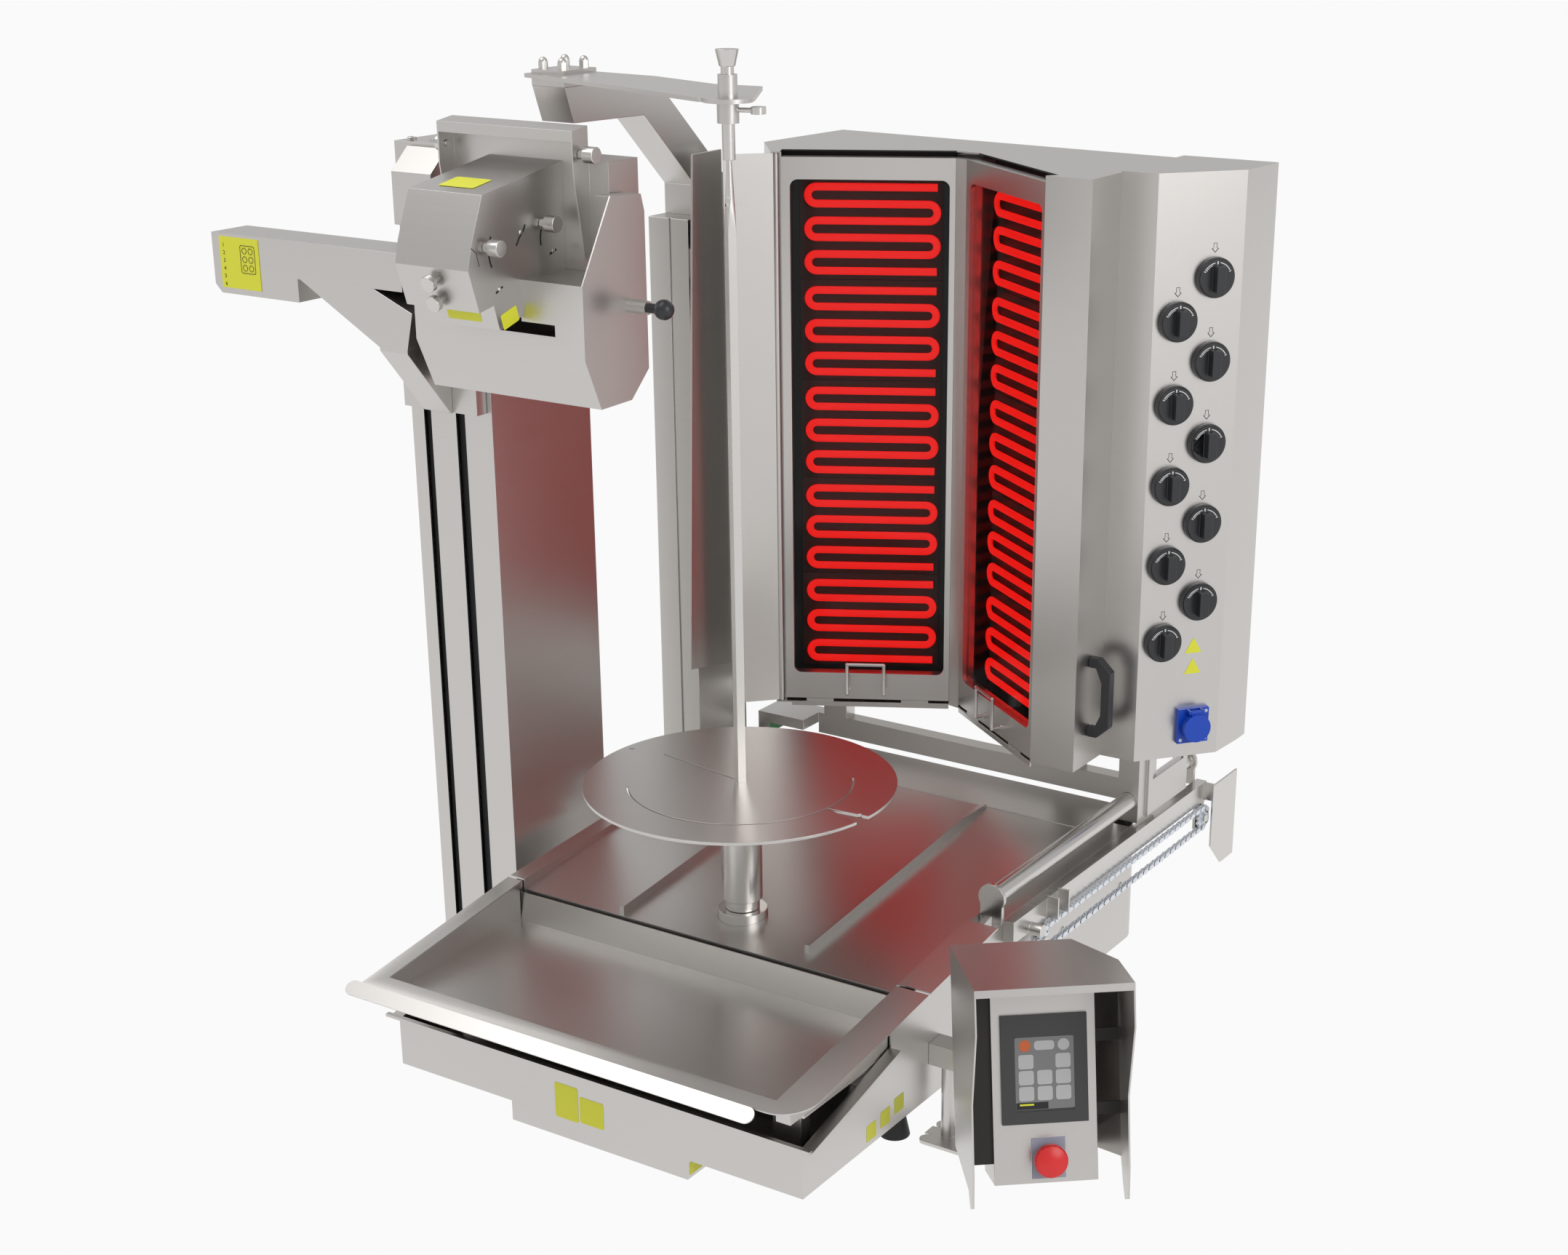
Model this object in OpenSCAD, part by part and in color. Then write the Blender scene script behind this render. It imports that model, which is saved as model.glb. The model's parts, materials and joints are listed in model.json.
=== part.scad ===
// Doner grill with a cutting robot: a base with drip trays, a turning spit, a glazed V-shaped heater on a slide,
// a lift column with the cutting head, and a touch panel station. X is across, Y is depth, Z is height.
// Places are worked out from the spit's line and the casing's front; place() moves the front right foot to zero.

/* [Base] */
// Width of the casing across its side sheets
casing_w = 620; // [600:1:640]
// Depth of the casing
casing_d = 880; // [870:1:900]
// Height of the casing's underside above the floor
casing_z = 58; // [50:1:64]
// Height of the casing's front sheet
front_h = 66; // [60:1:72]
// Height of the casing's side sheets
side_h = 173; // [170:1:178]
// Thickness of the casing's sheets
sheet = 2.5; // [1.5:0.1:3]
// Distance of the front right foot from the spit's line
foot_x = 268; // [250:1:275]
// Distance of the front feet from the casing's front
foot_y = 273; // [240:1:290]
// Distance between the front and rear feet
foot_pitch = 520; // [480:1:560]
// Diameter of a rubber foot
foot_d = 40; // [30:1:46]
// Height of a rubber foot
foot_h = 28; // [20:1:34]

/* [Trays] */
// Distance that the front tray sticks out before the casing
tray_out = 42; // [30:1:50]
// Height of the front tray's rim below the side sheets
rim_drop = 44; // [38:1:48]
// Slope of the tray's rim in degrees
rim_tilt = 7.52; // [6.5:0.05:7.8]
// Depth of the front tray's floor behind the casing's front
tray_back = 238; // [220:1:242]
// Width of the rim flange on the left
left_flange = 23; // [15:1:30]
// Width of the rim flange on the right
right_flange = 47; // [40:1:55]
// Distance of the rear tray's front edge from the casing's front
rear_y = 250; // [246:1:255]
// Depth of the rear tray's sloping floor
rear_d = 483; // [460:1:500]
// Height of the rear tray's front edge
rear_z = 212; // [208:1:214]
// Slope of the rear tray's floor in degrees
rear_tilt = 5.71; // [5:0.05:5.9]

/* [Spit] */
// Distance of the spit's line from the casing's front
spit_y = 327; // [320:1:335]
// Diameter of the post under the plate
post_d = 53; // [45:1:56]
// Height of the plate above the floor
disc_z = 402; // [390:1:415]
// Diameter of the plate
disc_d = 404; // [380:1:410]
// Thickness of the plate
disc_t = 4; // [2:0.5:5]
// Width across the flats of the blade bar
bar_w = 11; // [9:0.5:13]
// Length of the blade bar above the plate
bar_h = 751; // [720:1:760]

/* [Columns] */
// Gap between the casing and the lift column
lift_gap = 50; // [46:1:60]
// Width of the lift column
lift_w = 137; // [134:1:142]
// Depth of the lift column
lift_d = 201; // [180:1:220]
// Distance of the lift column's front from the casing's front
lift_y = 298; // [297:1:300]
// Height of the lift column
lift_h = 1075; // [1068:1:1080]
// Width of the rear column
rear_col_w = 67; // [62:1:72]
// Depth of the rear column
rear_col_d = 120; // [110:1:130]
// Distance of the rear column from the casing's front
rear_col_y = 672; // [665:1:680]
// Height of the rear column
rear_col_h = 1049; // [1040:1:1055]
// Width of the gooseneck tube
goose_w = 53; // [45:1:53]
// Height of the gooseneck's top face
goose_top = 1243; // [1238:1:1248]

/* [Robot] */
// Height of the carriage's lower edge above the floor
lift_z = 846; // [835:1:850]
// Height of the carriage plate
carriage_h = 154; // [140:1:158]
// Width of the carriage plate
carriage_w = 123; // [115:1:124]
// Length of the console arm
console_len = 327; // [300:1:360]
// Depth of the console arm
console_d = 64; // [58:1:66]
// Height of the console arm
console_h = 48; // [46:1:54]
// Width of the head housing
head_w = 113; // [100:1:120]
// Height of the head housing
head_h = 185; // [175:1:195]
// Depth of the head housing
head_d = 179; // [172:1:182]
// Width of the trough guard
trough_w = 266; // [260:1:272]
// Depth of the trough guard
trough_d = 124; // [118:1:128]
// Height of the trough's end plate
trough_h = 250; // [240:1:258]
// Diameter of the cutting blade
blade_d = 90; // [70:1:94]
// Height of the back shield
shield_h = 173; // [165:1:180]

/* [Heater] */
// Height of the heater's underside above the floor
heater_z = 340; // [338:1:346]
// Height of the heater
heater_h = 796; // [780:1:800]
// Width of the left door
door_l_w = 240; // [236:1:242]
// Width of the right door
door_r_w = 239.5; // [236:0.5:241]
// Thickness of a door
door_t = 18; // [14:1:20]
// Width of the window in a door
window_w = 220; // [205:1:222]
// Diameter of a heating element
element_d = 9; // [7:0.5:10]
// Number of heating zones behind each door
zones = 5; // [4:1:6]
// Diameter of a control knob
knob_d = 53; // [44:1:54]
// Diameter of the slide bar
slide_d = 26; // [20:1:28]

/* [Panel] */
// Width of the panel box
panel_w = 124; // [118:1:126]
// Height of the panel box
panel_h = 225; // [218:1:228]
// Width of the touch panel's bezel
bezel_w = 102.8; // [96:0.2:106]
// Height of the touch panel's bezel
bezel_h = 129.8; // [124:0.2:131]
// Width of the hood
hood_w = 186; // [178:1:192]
// Diameter of the stop button
stop_d = 40; // [35:1:42]

/* [Hidden] */
$fn = 48;

// Shared sizes
overrun = 1;
fit = 0.3;
running_fit = 0.05;
plate = 5;
thin = 2;
small_pin = 8;

// Base
side_x = casing_w / 2;
side_top = casing_z + side_h;
front_top = casing_z + front_h;
hem = 4;
hem_left = 20;
hem_right = 12;
left_rise_share = 0.067;
wall_gap = 3.3;
ledge_drop = 31;
ledge_start = 10;
frame_start = 30;
foot_top_share = 0.7;
notch_y = 195;
notch_rise = 45;
notch_lip = 14;
peak_y = 440;
rear_post_d = 80;
low_box_left = 128;
low_box_right = 144;
low_box_h = 27;
low_box_d = 150;
stem_d = 12;
frame_w = 40;
tie_h = 40;
ledge_w = 20;
ledge_t = 5;

// Trays
tray_play = 1.5;
tray_half = side_x - sheet - tray_play;
rim_z = side_top - rim_drop;
tray_sink = 61;
floor_z = side_top - tray_sink;
skirt = 7;
rim_front = 24;
slope_run = 28;
lip_w = 21;
lip_drop = 35;
lip_left = 348;
lip_right = 277;
corner_r = 46;
seam_gap = 5;
rim_in = 20;
rim_right = tray_half - rim_in;
edge_h = 8;
deck_rise = 1;
rear_right = 283;
rib_h = 12;
rib_w = 7;
rib_left_x = 146;
rib_right_x = 129;
rib_start = 3;
rib_right_start = 29;
rear_rim_end = 415;
left_rim_end = 451;
rail_w = 18;
rail_top = 264;
rail_start = 505;
function rim_at(y) = rim_z + (y + tray_out) * tan(rim_tilt);
function rear_at(y) = rear_z + (y - rear_y) * tan(rear_tilt);
deck_z = rear_at(rear_y + rear_d) + deck_rise;

// Spit
ring_d = 66;
ring_top = 230;
neck_d = 45;
neck_h = 14;
shaft_d = 30;
shaft_len = 90;
slit = 2;
slit_r = 144;
slit_from = 218;
slit_to = 397;
cut_w = 24;
notch_in = 17;
notch_side = 12;
slit_turn = -10;
slit_len = 132;
hole_a = 174;
hole_b = -4;
hole_in = 12;
tip_hole = 10;
tip_in = 18;
bar_turn = -28;
bar_tip = 12;
tip_bore_d = 10;
point_len = 113;
point_share = 1.5;
point_d = 4.6;
hole_d = 6;

// Top bearing
arm_z = goose_top + 10;
pin_d = 15.5;
pin_low = 66;
pin_top = 35;
flare_d = 28;
flare_h = 19;
flare_neck = 19;
sleeve_d = 26;
sleeve_h = 24;
collar_d = 23;
collar_h = 26;
screw_d = 5.5;
screw_len = 17;
screw_turn = 20;
wing_w = 17;
wing_h = 21;
wing_t = 8;
wing_sink = 2;
screw_drop = 9;
pin_travel = 35;
nut_dome_share = 0.85;

// Columns
column_t = 3;
lift_right = -side_x - lift_gap;
lift_left = lift_right - lift_w;
slot_a = 21;
slot_b = 76;
slot_a_w = 12;
slot_b_w = 15;
slot_low = 60;
slot_high = 1045;
drive_w = 97;
drive_front = 38;
drive_low = 1083;
drive_top = 1181;
drive_d = 100;
drive_chamfer = 32;
drive_chamfer_gap = 6;
cover_left = 27;
cover_w = 65;
rivet_d = 9;
rivet_h = 3;
rivet_share_x = [0.15, 0.5, 0.85];
rivet_share_y = [0.2, 0.75];
rear_col_gap = 6;
rear_col_right = -side_x - rear_col_gap;
rear_col_left = rear_col_right - rear_col_w;
groove = 3;
groove_x = 35;
shield_plate_t = 3;
shield_front = 29;
shield_rear = 72;
shield_low = 389;
shield_top = 1137;
shield_ledge = 5;
shield_slant = 20;
goose_front = 436;
goose_left = rear_col_left;
goose_rear = 711;
goose_foot = 77;
goose_h = 46;
goose_knee = 623;
goose_leg = 741;
goose_leg_z = 1135;
goose_inner = 601;
goose_inner_drop = 49;
goose_lean = 17;
goose_leg_top = 1090;
plate_left = 390;
clamp_d = 66;
nut_d = 13;
nut_h = 16;
nut_gap = 11;
arm_root_back = 505;
arm_nose_r = 30;
arm_share = [[0, 0.58], [0.474, 0.24], [0.93, -0.12], [1.06, 0.12], [0.9, 0.72], [0.73, 0.68],
    [0.42, 0.915], [0, 1]];

// Robot, with heights from the carriage's lower edge
carriage_t = 20;
shoe_w = 8;
shoe_t = 10;
shoe_h = 40;
shoe_plate_w = 22;
shoe_low = 20;
carriage_in = 7;
front_gap = 98;
arm_right = 409;
arm_up = 166;
arm_deep = 149;
arm_drop = 30;
arm_t = 2.5;
arm_chamfer = 11;
bush_w = 30;
feed_play = 0.15;
key_t = 0.8;
key_in = 14;
key_w = 70;
key_h = 66;
strut_drop = 73;
strut_w = 48;
strut_bulge = 14;
feed_w = 24;
feed_len = 260;
head_left = 332;
head_front = 91;
head_up = 145;
head_t = 2;
head_sink = 5;
head_share = [[0.285, 0], [0.598, 0.076], [1, 0.1], [1, 1], [0.173, 0.87], [0.039, 0.562], [0, 0.416],
    [0.089, 0.141], [0.235, 0.168]];
trough_left = 390;
trough_up = 48;
trough_t = 2;
trough_side_gap = 34;
trough_top_share = 0.608;
trough_sheet_share = [[0, 0.608], [0, 0.252], [0.226, 0], [0.71, 0.004], [1, 0.136], [1, 0.58]];
trough_short_share = [[0, 0.608], [0, 0.252], [0.226, 0], [0.6, 0.003]];
trough_end_share = [[0, 0.252], [0.226, 0], [0.6, 0.003], [0.6, 0.58], [0, 0.6]];
trough_step_share = [[0.5, 0.002], [0.71, 0.004], [1, 0.136], [1, 0.58], [0.5, 0.58]];
trough_plate_share = [[0, 0.252], [0.226, 0], [0.71, 0.004], [1, 0.136], [1, 0.9], [0.952, 0.984],
    [0.476, 1],
    [0, 0.608]];
trough_hem_share = [[0.952, 0.984], [0.476, 1]];
hem_depth = 20;
slot_low_w = 51;
slot_low_h = 14;
back_left = 390;
back_w = 211;
back_lip = 28;
back_flange = 17;
motor_w = 150;
motor_right = 150;
motor_d = 60;
motor_h = 118;
motor_low = 214;
spindle_w = 65;
spindle_h = 30;
spindle_d = 10;
spindle_box = 30;
blade_t = 3;
blade_x = 150;
blade_y = 270;
blade_up = 149;
button_d = 20;
button_cap = 8;
button_travel = 6;
button_stem_d = 10;
button_x = 276;
button_low_share = 0.78;
button_high_share = 0.3;
knob_front_share = [0.179, 0.546];
knob_rear_share = [0.76, 0.627];
boss_share = 1.5;
ball_sink_share = 0.4;
side_knob_h = 16;
side_stem_h = 9;
back_knob_up = 341;
plunger_y = 290;
plunger_up = 164;
plunger_d = 8;
bush_d = 17;
bush_len = 28;
ball_d = 25;
ball_out = 51;

// Heater
door_left_x = 224;
door_left_y = 765;
door_left_turn = 28.1;
door_right_x = 7;
door_right_y = 874;
door_right_turn = -35.5;
door_foot = 6;
window_in = 12;
window_low = 40;
window_top = 30;
glass_t = 4;
glass_back = 6;
element_back = 30;
liner_back = 45;
zone_gap_share = 0.16;
bars = 6;
bend_step = 30;
element_in = 22;
element_share = 0.82;
wire_d = 5;
wire_ball = 5.6;
wire_low = 13;
wire_high = 58;
wire_out = 14;
wire_in = 91;
wire_w = 54;
wire_pad = 9;
shell_t = 2;
wing_len = 73.6;
wing_angle = -134;
wing_gap = 1;
jamb_w = 14;
sill_in = 30;
sill_w = 40;
apex_shift = 8;
apex_y = 935;
back_taper = 13;
heater_front_left = 836;
drip_in = 8;
drip_h = 6;
hinge_d = 8;
heater_right = 270;
heater_left = 300;
heater_back_left = 1021;
heater_back_right = 989;
side_front_y = 733;
side_back_y = 814;
grip_low = 42;
grip_high = 156;
grip_y = 775;
grip_out = 34;
grip_t = 14;
grip_bend_share = 0.45;
beam_y = 860;
beam_w = 24;
beam_low = 265;
beam_h = 32;
beam_left = 222;
beam_post_x = 10;
block_w = 32;
block_low = 234;
post_w = 40;
glide_h = 17;
glide_len = 42;
glide_w = 22;
frame_t = 4;
frame_back = 1000;
win_low = 290;
win_margin = 14;

// Control box
box_face_x = 322;
box_face_y = 815;
box_turn = 50.2;
box_face_w = 125;
box_out = 406;
box_side_y = 973;
box_back_y = 1000;
box_top_up = 4;
box_t = 2;
knobs = 10;
knob_s_share = [0.672, 0.272];
knob_grip_share = 0.64;
knob_first = 131;
knob_step = 54.9;
knob_base_h = 8;
knob_body_share = 0.92;
knob_body_h = 2;
knob_grip_h = 14;
knob_grip_w_share = 0.24;
knob_shaft_d = 6;
knob_shaft_len = 14;
socket_s_share = 0.672;
socket_z = 47;
socket_w = 46;
socket_h = 50;
socket_t = 8;
socket_d = 38;
lid_t = 6;
lid_hinge_d = 5;
lid_pin_d = 2.5;
lid_ear_w = 16;

// Slide
slide_x = 300;
slide_z = 265;
slide_y = 455;
slide_end = 1034;
ear_r = 19;
ear_t = 6;
ear_low_w = 16;
side_beam_t = 16;
side_beam_h = 31;
side_beam_y = 470;
side_beam_end = 1060;
chain_x = 330;
chain_z = 180;
chain_front = 540;
links = 125;
pitch = 8;
teeth = 12;
chain_plate_h = 7;
chain_plate_t = 1.2;
chain_gap = 3.8;
roller_d = 5;
axle_d = 8;
hanger_w = 30;
hanger_t = 4;
tooth_w = 3;
hub_d = 16;
tooth_share = 0.36;
axle_out = 5;
clip_y = [560, 590];
clip_w = 17;
roller_gap = 4;
end_plate_t = 3;
end_plate_y = 1055;
end_plate_d = 84;
end_plate_low = 90;

// Touch panel station
panel_x = 511;
panel_y = 209;
panel_z = 193;
panel_turn = 39.2;
panel_lean = 15.3;
panel_deep = 68;
panel_up = 88;
bezel_t = 4;
screen_w = 68;
screen_h = 88;
screen_t = 1;
screen_off = 6;
stop_plate_w = 40;
stop_plate_h = 49;
stop_down = 107;
stop_x = 3;
stop_collar_d = 26;
stop_collar_h = 7;
stop_travel = 4;
stop_head_h = 13;
hood_t = 2;
hood_top = 112;
hood_back_top = 134;
hood_front = 80;
hood_back = 95;
hood_chamfer = 38;
tube_d = 30;
hood_back_low = 112;
hood_tab_w = 43;
hood_tie_low = 60;
hood_edge = 6;
hood_lip = 9;
hood_mid_share = 0.543;
wing_points = [[80, 112], [80, 60], [38, -30], [35, -115], [27, -155], [10, -160], [0, -140]];
foot_plate_w = 80;
foot_plate_d = 60;
foot_plate_t = 5;
foot_plate_off = 12;
mast_d = 18;
tube_up = 30;
tube_len = 72;
tube_low = 106;
tube_reach = 150;
mast_x = 331;
mast_y = 299;

// Moves the front right foot's middle on the floor to the origin
module place() translate([-foot_x, -foot_y, 0]) children();

// Moves a robot piece to the carriage's height
module robot() place() translate([0, 0, lift_z]) children();

// Box between two corners
module block(low, high) translate(low) cube(high - low);

// Outline in the YZ plane, thickened towards +X
module slab_x(x, thick) translate([x, 0, 0]) rotate([90, 0, 90]) linear_extrude(thick) children();

// Outline in the XZ plane, thickened towards +Y
module slab_y(y, thick) translate([0, y + thick, 0]) rotate([90, 0, 0]) linear_extrude(thick) children();

// Outline in the XY plane, thickened upwards
module slab_z(z, thick) translate([0, 0, z]) linear_extrude(thick) children();

// Round bars along each direction
module rod_x(at, d, len) translate(at) rotate([0, 90, 0]) cylinder(d = d, h = len);
module rod_y(at, d, len) translate(at) rotate([-90, 0, 0]) cylinder(d = d, h = len);
module rod_z(at, d, len) translate(at) cylinder(d = d, h = len);

// Unit step to the left of the way from one outline point to the next
function left_of(a, b) = [a[1] - b[1], b[0] - a[0]] / norm(b - a);

// Outline point moved to the left by a thickness, with a mitred corner
function inset(p, i, t, loop) =
    let (n = len(p),
         before = i == 0 && !loop ? left_of(p[i], p[i + 1]) : left_of(p[(i + n - 1) % n], p[i]),
         after = i == n - 1 && !loop ? before : left_of(p[i], p[(i + 1) % n]))
    p[i] + t * (before + after) / (1 + before * after);

// Bent sheet along outline points, its thickness on the left of the way
module bent(p, t) polygon(concat(p, [for (i = [len(p) - 1 : -1 : 0]) inset(p, i, t, false)]));

// Closed loop of sheet inside an outline
module ring(p, t) difference() {
    polygon(p);
    polygon([for (i = [0 : len(p) - 1]) inset(p, i, t, true)]);
}

// Closed box of sheet whose outline lies in the YZ plane
module shell_x(p, x, w, t) {
    slab_x(x, w) ring(p, t);
    slab_x(x, t) polygon(p);
    slab_x(x + w - t, t) polygon(p);
}

// Closed box of sheet whose outline lies in the XZ plane
module shell_y(p, y, w, t) {
    slab_y(y, w) ring(p, t);
    slab_y(y, t) polygon(p);
    slab_y(y + w - t, t) polygon(p);
}

// Places of a table of shares between two corners
function spread(table_share, low, size) =
    [for (p = table_share) [low[0] + p[0] * size[0], low[1] + p[1] * size[1]]];

// Outline of the casing seen from above, drawn in by a thickness
module casing_plan(in) {
    r = rear_post_d / 2;
    translate([in - side_x, in]) square([casing_w - 2 * in, casing_d - r - in]);
    translate([r - side_x, casing_d / 2]) square([casing_w - 2 * r, casing_d / 2 - in]);
    for (side = [-1, 1]) translate([side * (side_x - r), casing_d - r]) circle(r - in);
}

// Height of the left side sheet's top edge beside the trays
function left_at(y) = rim_at(rear_y) + (y - rear_y) * left_rise_share;

// Side sheet's outline with the notch under the front tray
module side_outline(rise) polygon([
    [0, casing_z], [casing_d, casing_z], [casing_d, side_top], [peak_y, side_top],
    [peak_y, rim_at(rear_y) - wall_gap + (peak_y - rear_y) * rise],
    [rear_y, rim_at(rear_y) - wall_gap], [notch_y, rim_at(notch_y) - wall_gap],
    [notch_y, front_top + notch_rise], [0, front_top]
]);

module casing() color("silver") place() {
    intersection() {
        difference() {
            slab_z(casing_z, 2 * side_h) casing_plan(0);
            slab_z(casing_z + sheet, 2 * side_h) casing_plan(sheet);
        }
        union() {
            slab_x(-casing_w, casing_w) side_outline(left_rise_share);
            slab_x(0, casing_w) side_outline(tan(rim_tilt));
        }
    }
    block([-side_x - hem_left, -hem, front_top - hem / 2],
        [side_x + hem_right, sheet, front_top + hem / 2]);
    for (x = [-side_x - notch_lip, side_x])
        slab_x(x, notch_lip) bent([[notch_y, front_top + notch_rise], [0, front_top]], thin);
    shell_x([[0, casing_z - low_box_h], [low_box_d, casing_z - low_box_h], [low_box_d, casing_z],
        [0, casing_z]],
        -low_box_left, low_box_left + low_box_right, sheet);
    for (x = [-foot_x, foot_x], y = [foot_y, foot_y + foot_pitch])
        rod_z([x, y, foot_h], stem_d, casing_z - foot_h);
}

module feet() color("dimgray") place()
    for (x = [-foot_x, foot_x], y = [foot_y, foot_y + foot_pitch])
        translate([x, y, 0]) cylinder(d1 = foot_d, d2 = foot_d * foot_top_share, h = foot_h);

module base_frame() color("gray") place() {
    low = casing_z + sheet;
    rail_in = foot_x - frame_w / 2;
    ledge_top = floor_z - skirt - fit;
    for (side = [-1, 1]) {
        x = side * foot_x - frame_w / 2;
        block([x, frame_start, low], [x + frame_w, casing_d - rear_post_d, low + frame_w]);
        ledge = side > 0 ? x : -tray_half;
        block([ledge, ledge_start, ledge_top - ledge_t], [ledge + tray_half - rail_in, tray_back,
            ledge_top]);
        for (y = [frame_start, tray_back - frame_w])
            block([x, y, low + frame_w], [x + frame_w, y + ledge_w, ledge_top - ledge_t]);
    }
    for (y = [frame_start, spit_y - frame_w / 2, casing_d - rear_post_d - frame_w])
        block([running_fit - rail_in, y, low], [rail_in - running_fit, y + frame_w, low + frame_w]);
    for (y = [lift_y + frame_w, lift_y + lift_d - 2 * frame_w])
        block([lift_right, y, low], [-side_x, y + frame_w, low + tie_h]);
    block([rear_col_right, rear_col_y + frame_w, low], [-side_x, rear_col_y + 2 * frame_w, low + tie_h]);
}

// Frame that lies on the tilted rim
module on_rim() translate([0, -tray_out, rim_z]) rotate([rim_tilt, 0, 0]) translate([0, 0, -thin])
    linear_extrude(thin) children();
function run(y) = (y + tray_out) / cos(rim_tilt);

// Upright sheet from a lower edge into the rim
module skirt_x(x, from, to, low) slab_x(x, thin)
    polygon([[from, low], [to, low], [to, rim_at(to) - thin / 2], [from, rim_at(from) - thin / 2]]);

module front_tray() color("lightgray") place() {
    rim_end = tray_out - rim_front;
    slope_end = slope_run - rim_end;
    outer_left = tray_half + left_flange;
    outer_right = rim_right + right_flange;
    back = run(rear_y - seam_gap);
    on_rim() difference() {
        union() {
            translate([-outer_left, 0]) square([outer_left + outer_right - corner_r, back]);
            translate([0, corner_r]) square([outer_right, back - corner_r]);
            translate([outer_right - corner_r, corner_r]) circle(corner_r);
        }
        translate([thin / 2 - tray_half, run(-rim_end)]) square([tray_half + rim_right, back]);
    }
    block([-tray_half, slope_end - thin, floor_z - thin], [rim_right + thin, tray_back + thin, floor_z]);
    slab_x(-tray_half, tray_half + rim_right + thin) bent([[slope_end, floor_z], [-rim_end,
        rim_at(-rim_end)]], thin);
    skirt_x(-tray_half, -rim_end, tray_back, floor_z - skirt);
    skirt_x(tray_half - thin, -rim_end, tray_back, floor_z - skirt);
    skirt_x(rim_right, -rim_end, tray_back, floor_z - thin);
    slab_x(-tray_half, tray_half + rim_right)
        bent([[tray_back + thin, floor_z - thin], [rear_y - seam_gap, rear_z - wall_gap]], thin);
    block([rim_right, -rim_end, floor_z - skirt], [tray_half, thin - rim_end, rim_at(-rim_end) - thin]);
    translate([0, -tray_out, rim_z]) rotate([lip_drop, 0, 0]) translate([0, 0, -thin]) linear_extrude(thin)
        {
        translate([lip_w / 2 - lip_left, -lip_w]) square([lip_left + lip_right - lip_w, lip_w]);
        for (x = [lip_w / 2 - lip_left, lip_right - lip_w / 2]) translate([x, -lip_w / 2])
            circle(lip_w / 2);
    }
}

// Floor line of the rear tray, raised by a height
function floor_line(from, to, up) = [[from, rear_at(from) + up], [to, rear_at(to) + up]];

module rear_tray() color("silver") place() {
    end = rear_y + rear_d;
    deck_end = casing_d - rear_post_d / 2 - overrun;
    low = side_top - ledge_drop;
    difference() {
        slab_x(-tray_half, tray_half + rear_right) bent([[deck_end, low], [deck_end, deck_z], [end, deck_z],
            [end, rear_at(end)], [rear_y, rear_z], [rear_y, floor_z - skirt]], thin);
        rod_z([0, spit_y, floor_z], ring_d + 2 * fit, rear_z);
    }
    slab_x(-tray_half, thin) polygon([[rear_y, low], [deck_end, low], [deck_end, deck_z], [end, deck_z],
        [left_rim_end, rear_at(left_rim_end) + edge_h], [left_rim_end, left_at(left_rim_end)],
            [rear_y, left_at(rear_y)]]);
    slab_x(-tray_half - left_flange, left_flange + thin)
        bent([[left_rim_end, left_at(left_rim_end)], [rear_y, left_at(rear_y)]], thin);
    slab_x(rear_right - thin, thin) polygon([[rear_y, low], [deck_end, low], [deck_end, deck_z],
        [end, deck_z],
        [rear_rim_end, rear_at(rear_rim_end) + edge_h], [rear_y, rear_z]]);
    skirt_x(rim_right, rear_y, rear_rim_end, rear_z);
    skirt_x(tray_half - thin, rear_y, rear_rim_end, low);
    block([rear_right, rear_y, rear_z], [rim_right, rear_y + thin, rim_at(rear_y) - thin]);
    slab_x(rear_right, rim_right - rear_right) bent([[rear_rim_end, rear_at(rear_rim_end)],
        [rear_y, rear_z]], thin);
    on_rim() translate([rim_right, run(rear_y)])
        square([right_flange, run(rear_rim_end) - run(rear_y)]);
    block([rear_right, peak_y, side_top - thin], [side_x - sheet, deck_end, side_top]);
    difference() {
        for (rib = [[-rib_left_x, rib_start], [rib_right_x, rib_right_start]])
            slab_x(rib[0], rib_w) polygon(concat(floor_line(rear_y + rib[1], end, 0), [for (p = [1, 0])
                floor_line(rear_y + rib[1], end, rib_h)[p]]));
        block([-tray_half, rear_y, beam_low - fit], [tray_half, rear_y + rear_d, beam_low + rib_h]);
    }
    slab_x(-tray_half, rail_w) polygon([[rail_start, rear_at(rail_start)], [end, rear_at(end)],
        [end, deck_z],
        [deck_end, deck_z], [deck_end, rail_top], [rail_start, rail_top]]);
}

module spit_collar() color("gray") place() difference() {
    low = casing_z + sheet + frame_w;
    rod_z([0, spit_y, low], ring_d, ring_top - low);
    rod_z([0, spit_y, low + thin], shaft_d + 2 * running_fit, ring_top);
}

module spit_post() color("silver") place() {
    rod_z([0, spit_y, ring_top - shaft_len], shaft_d, shaft_len + neck_h);
    rod_z([0, spit_y, ring_top + fit], neck_d, neck_h);
    rod_z([0, spit_y, ring_top + fit + neck_h], post_d, disc_z - ring_top - fit - neck_h);
}

module spit_disc() color("silver") place() translate([0, spit_y, disc_z]) difference() {
    r = disc_d / 2;
    cylinder(d = disc_d, h = disc_t, $fn = 96);
    translate([0, 0, -overrun]) {
        intersection() {
            difference() {
                cylinder(r = slit_r + slit, h = disc_t + 2 * overrun);
                translate([0, 0, -overrun]) cylinder(r = slit_r, h = disc_t + 4 * overrun);
            }
            linear_extrude(disc_t + 2 * overrun) polygon([[0, 0], for (a = [slit_from,
                (slit_from + slit_to) / 2, slit_to])
                disc_d * [cos(a), sin(a)]]);
        }
        linear_extrude(disc_t + 2 * overrun)
            polygon([[slit_r, -notch_in], [r + overrun, -notch_side], [r + overrun, -notch_side - cut_w]]);
        rotate([0, 0, slit_turn]) translate([-slit_r, 0, 0]) cube([slit_len, slit, disc_t + 2 * overrun]);
        for (a = [hole_a, hole_b]) rotate([0, 0, a]) translate([r - hole_in, 0, 0])
            cylinder(d = hole_d, h = disc_t + 2 * overrun);
    }
}

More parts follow.
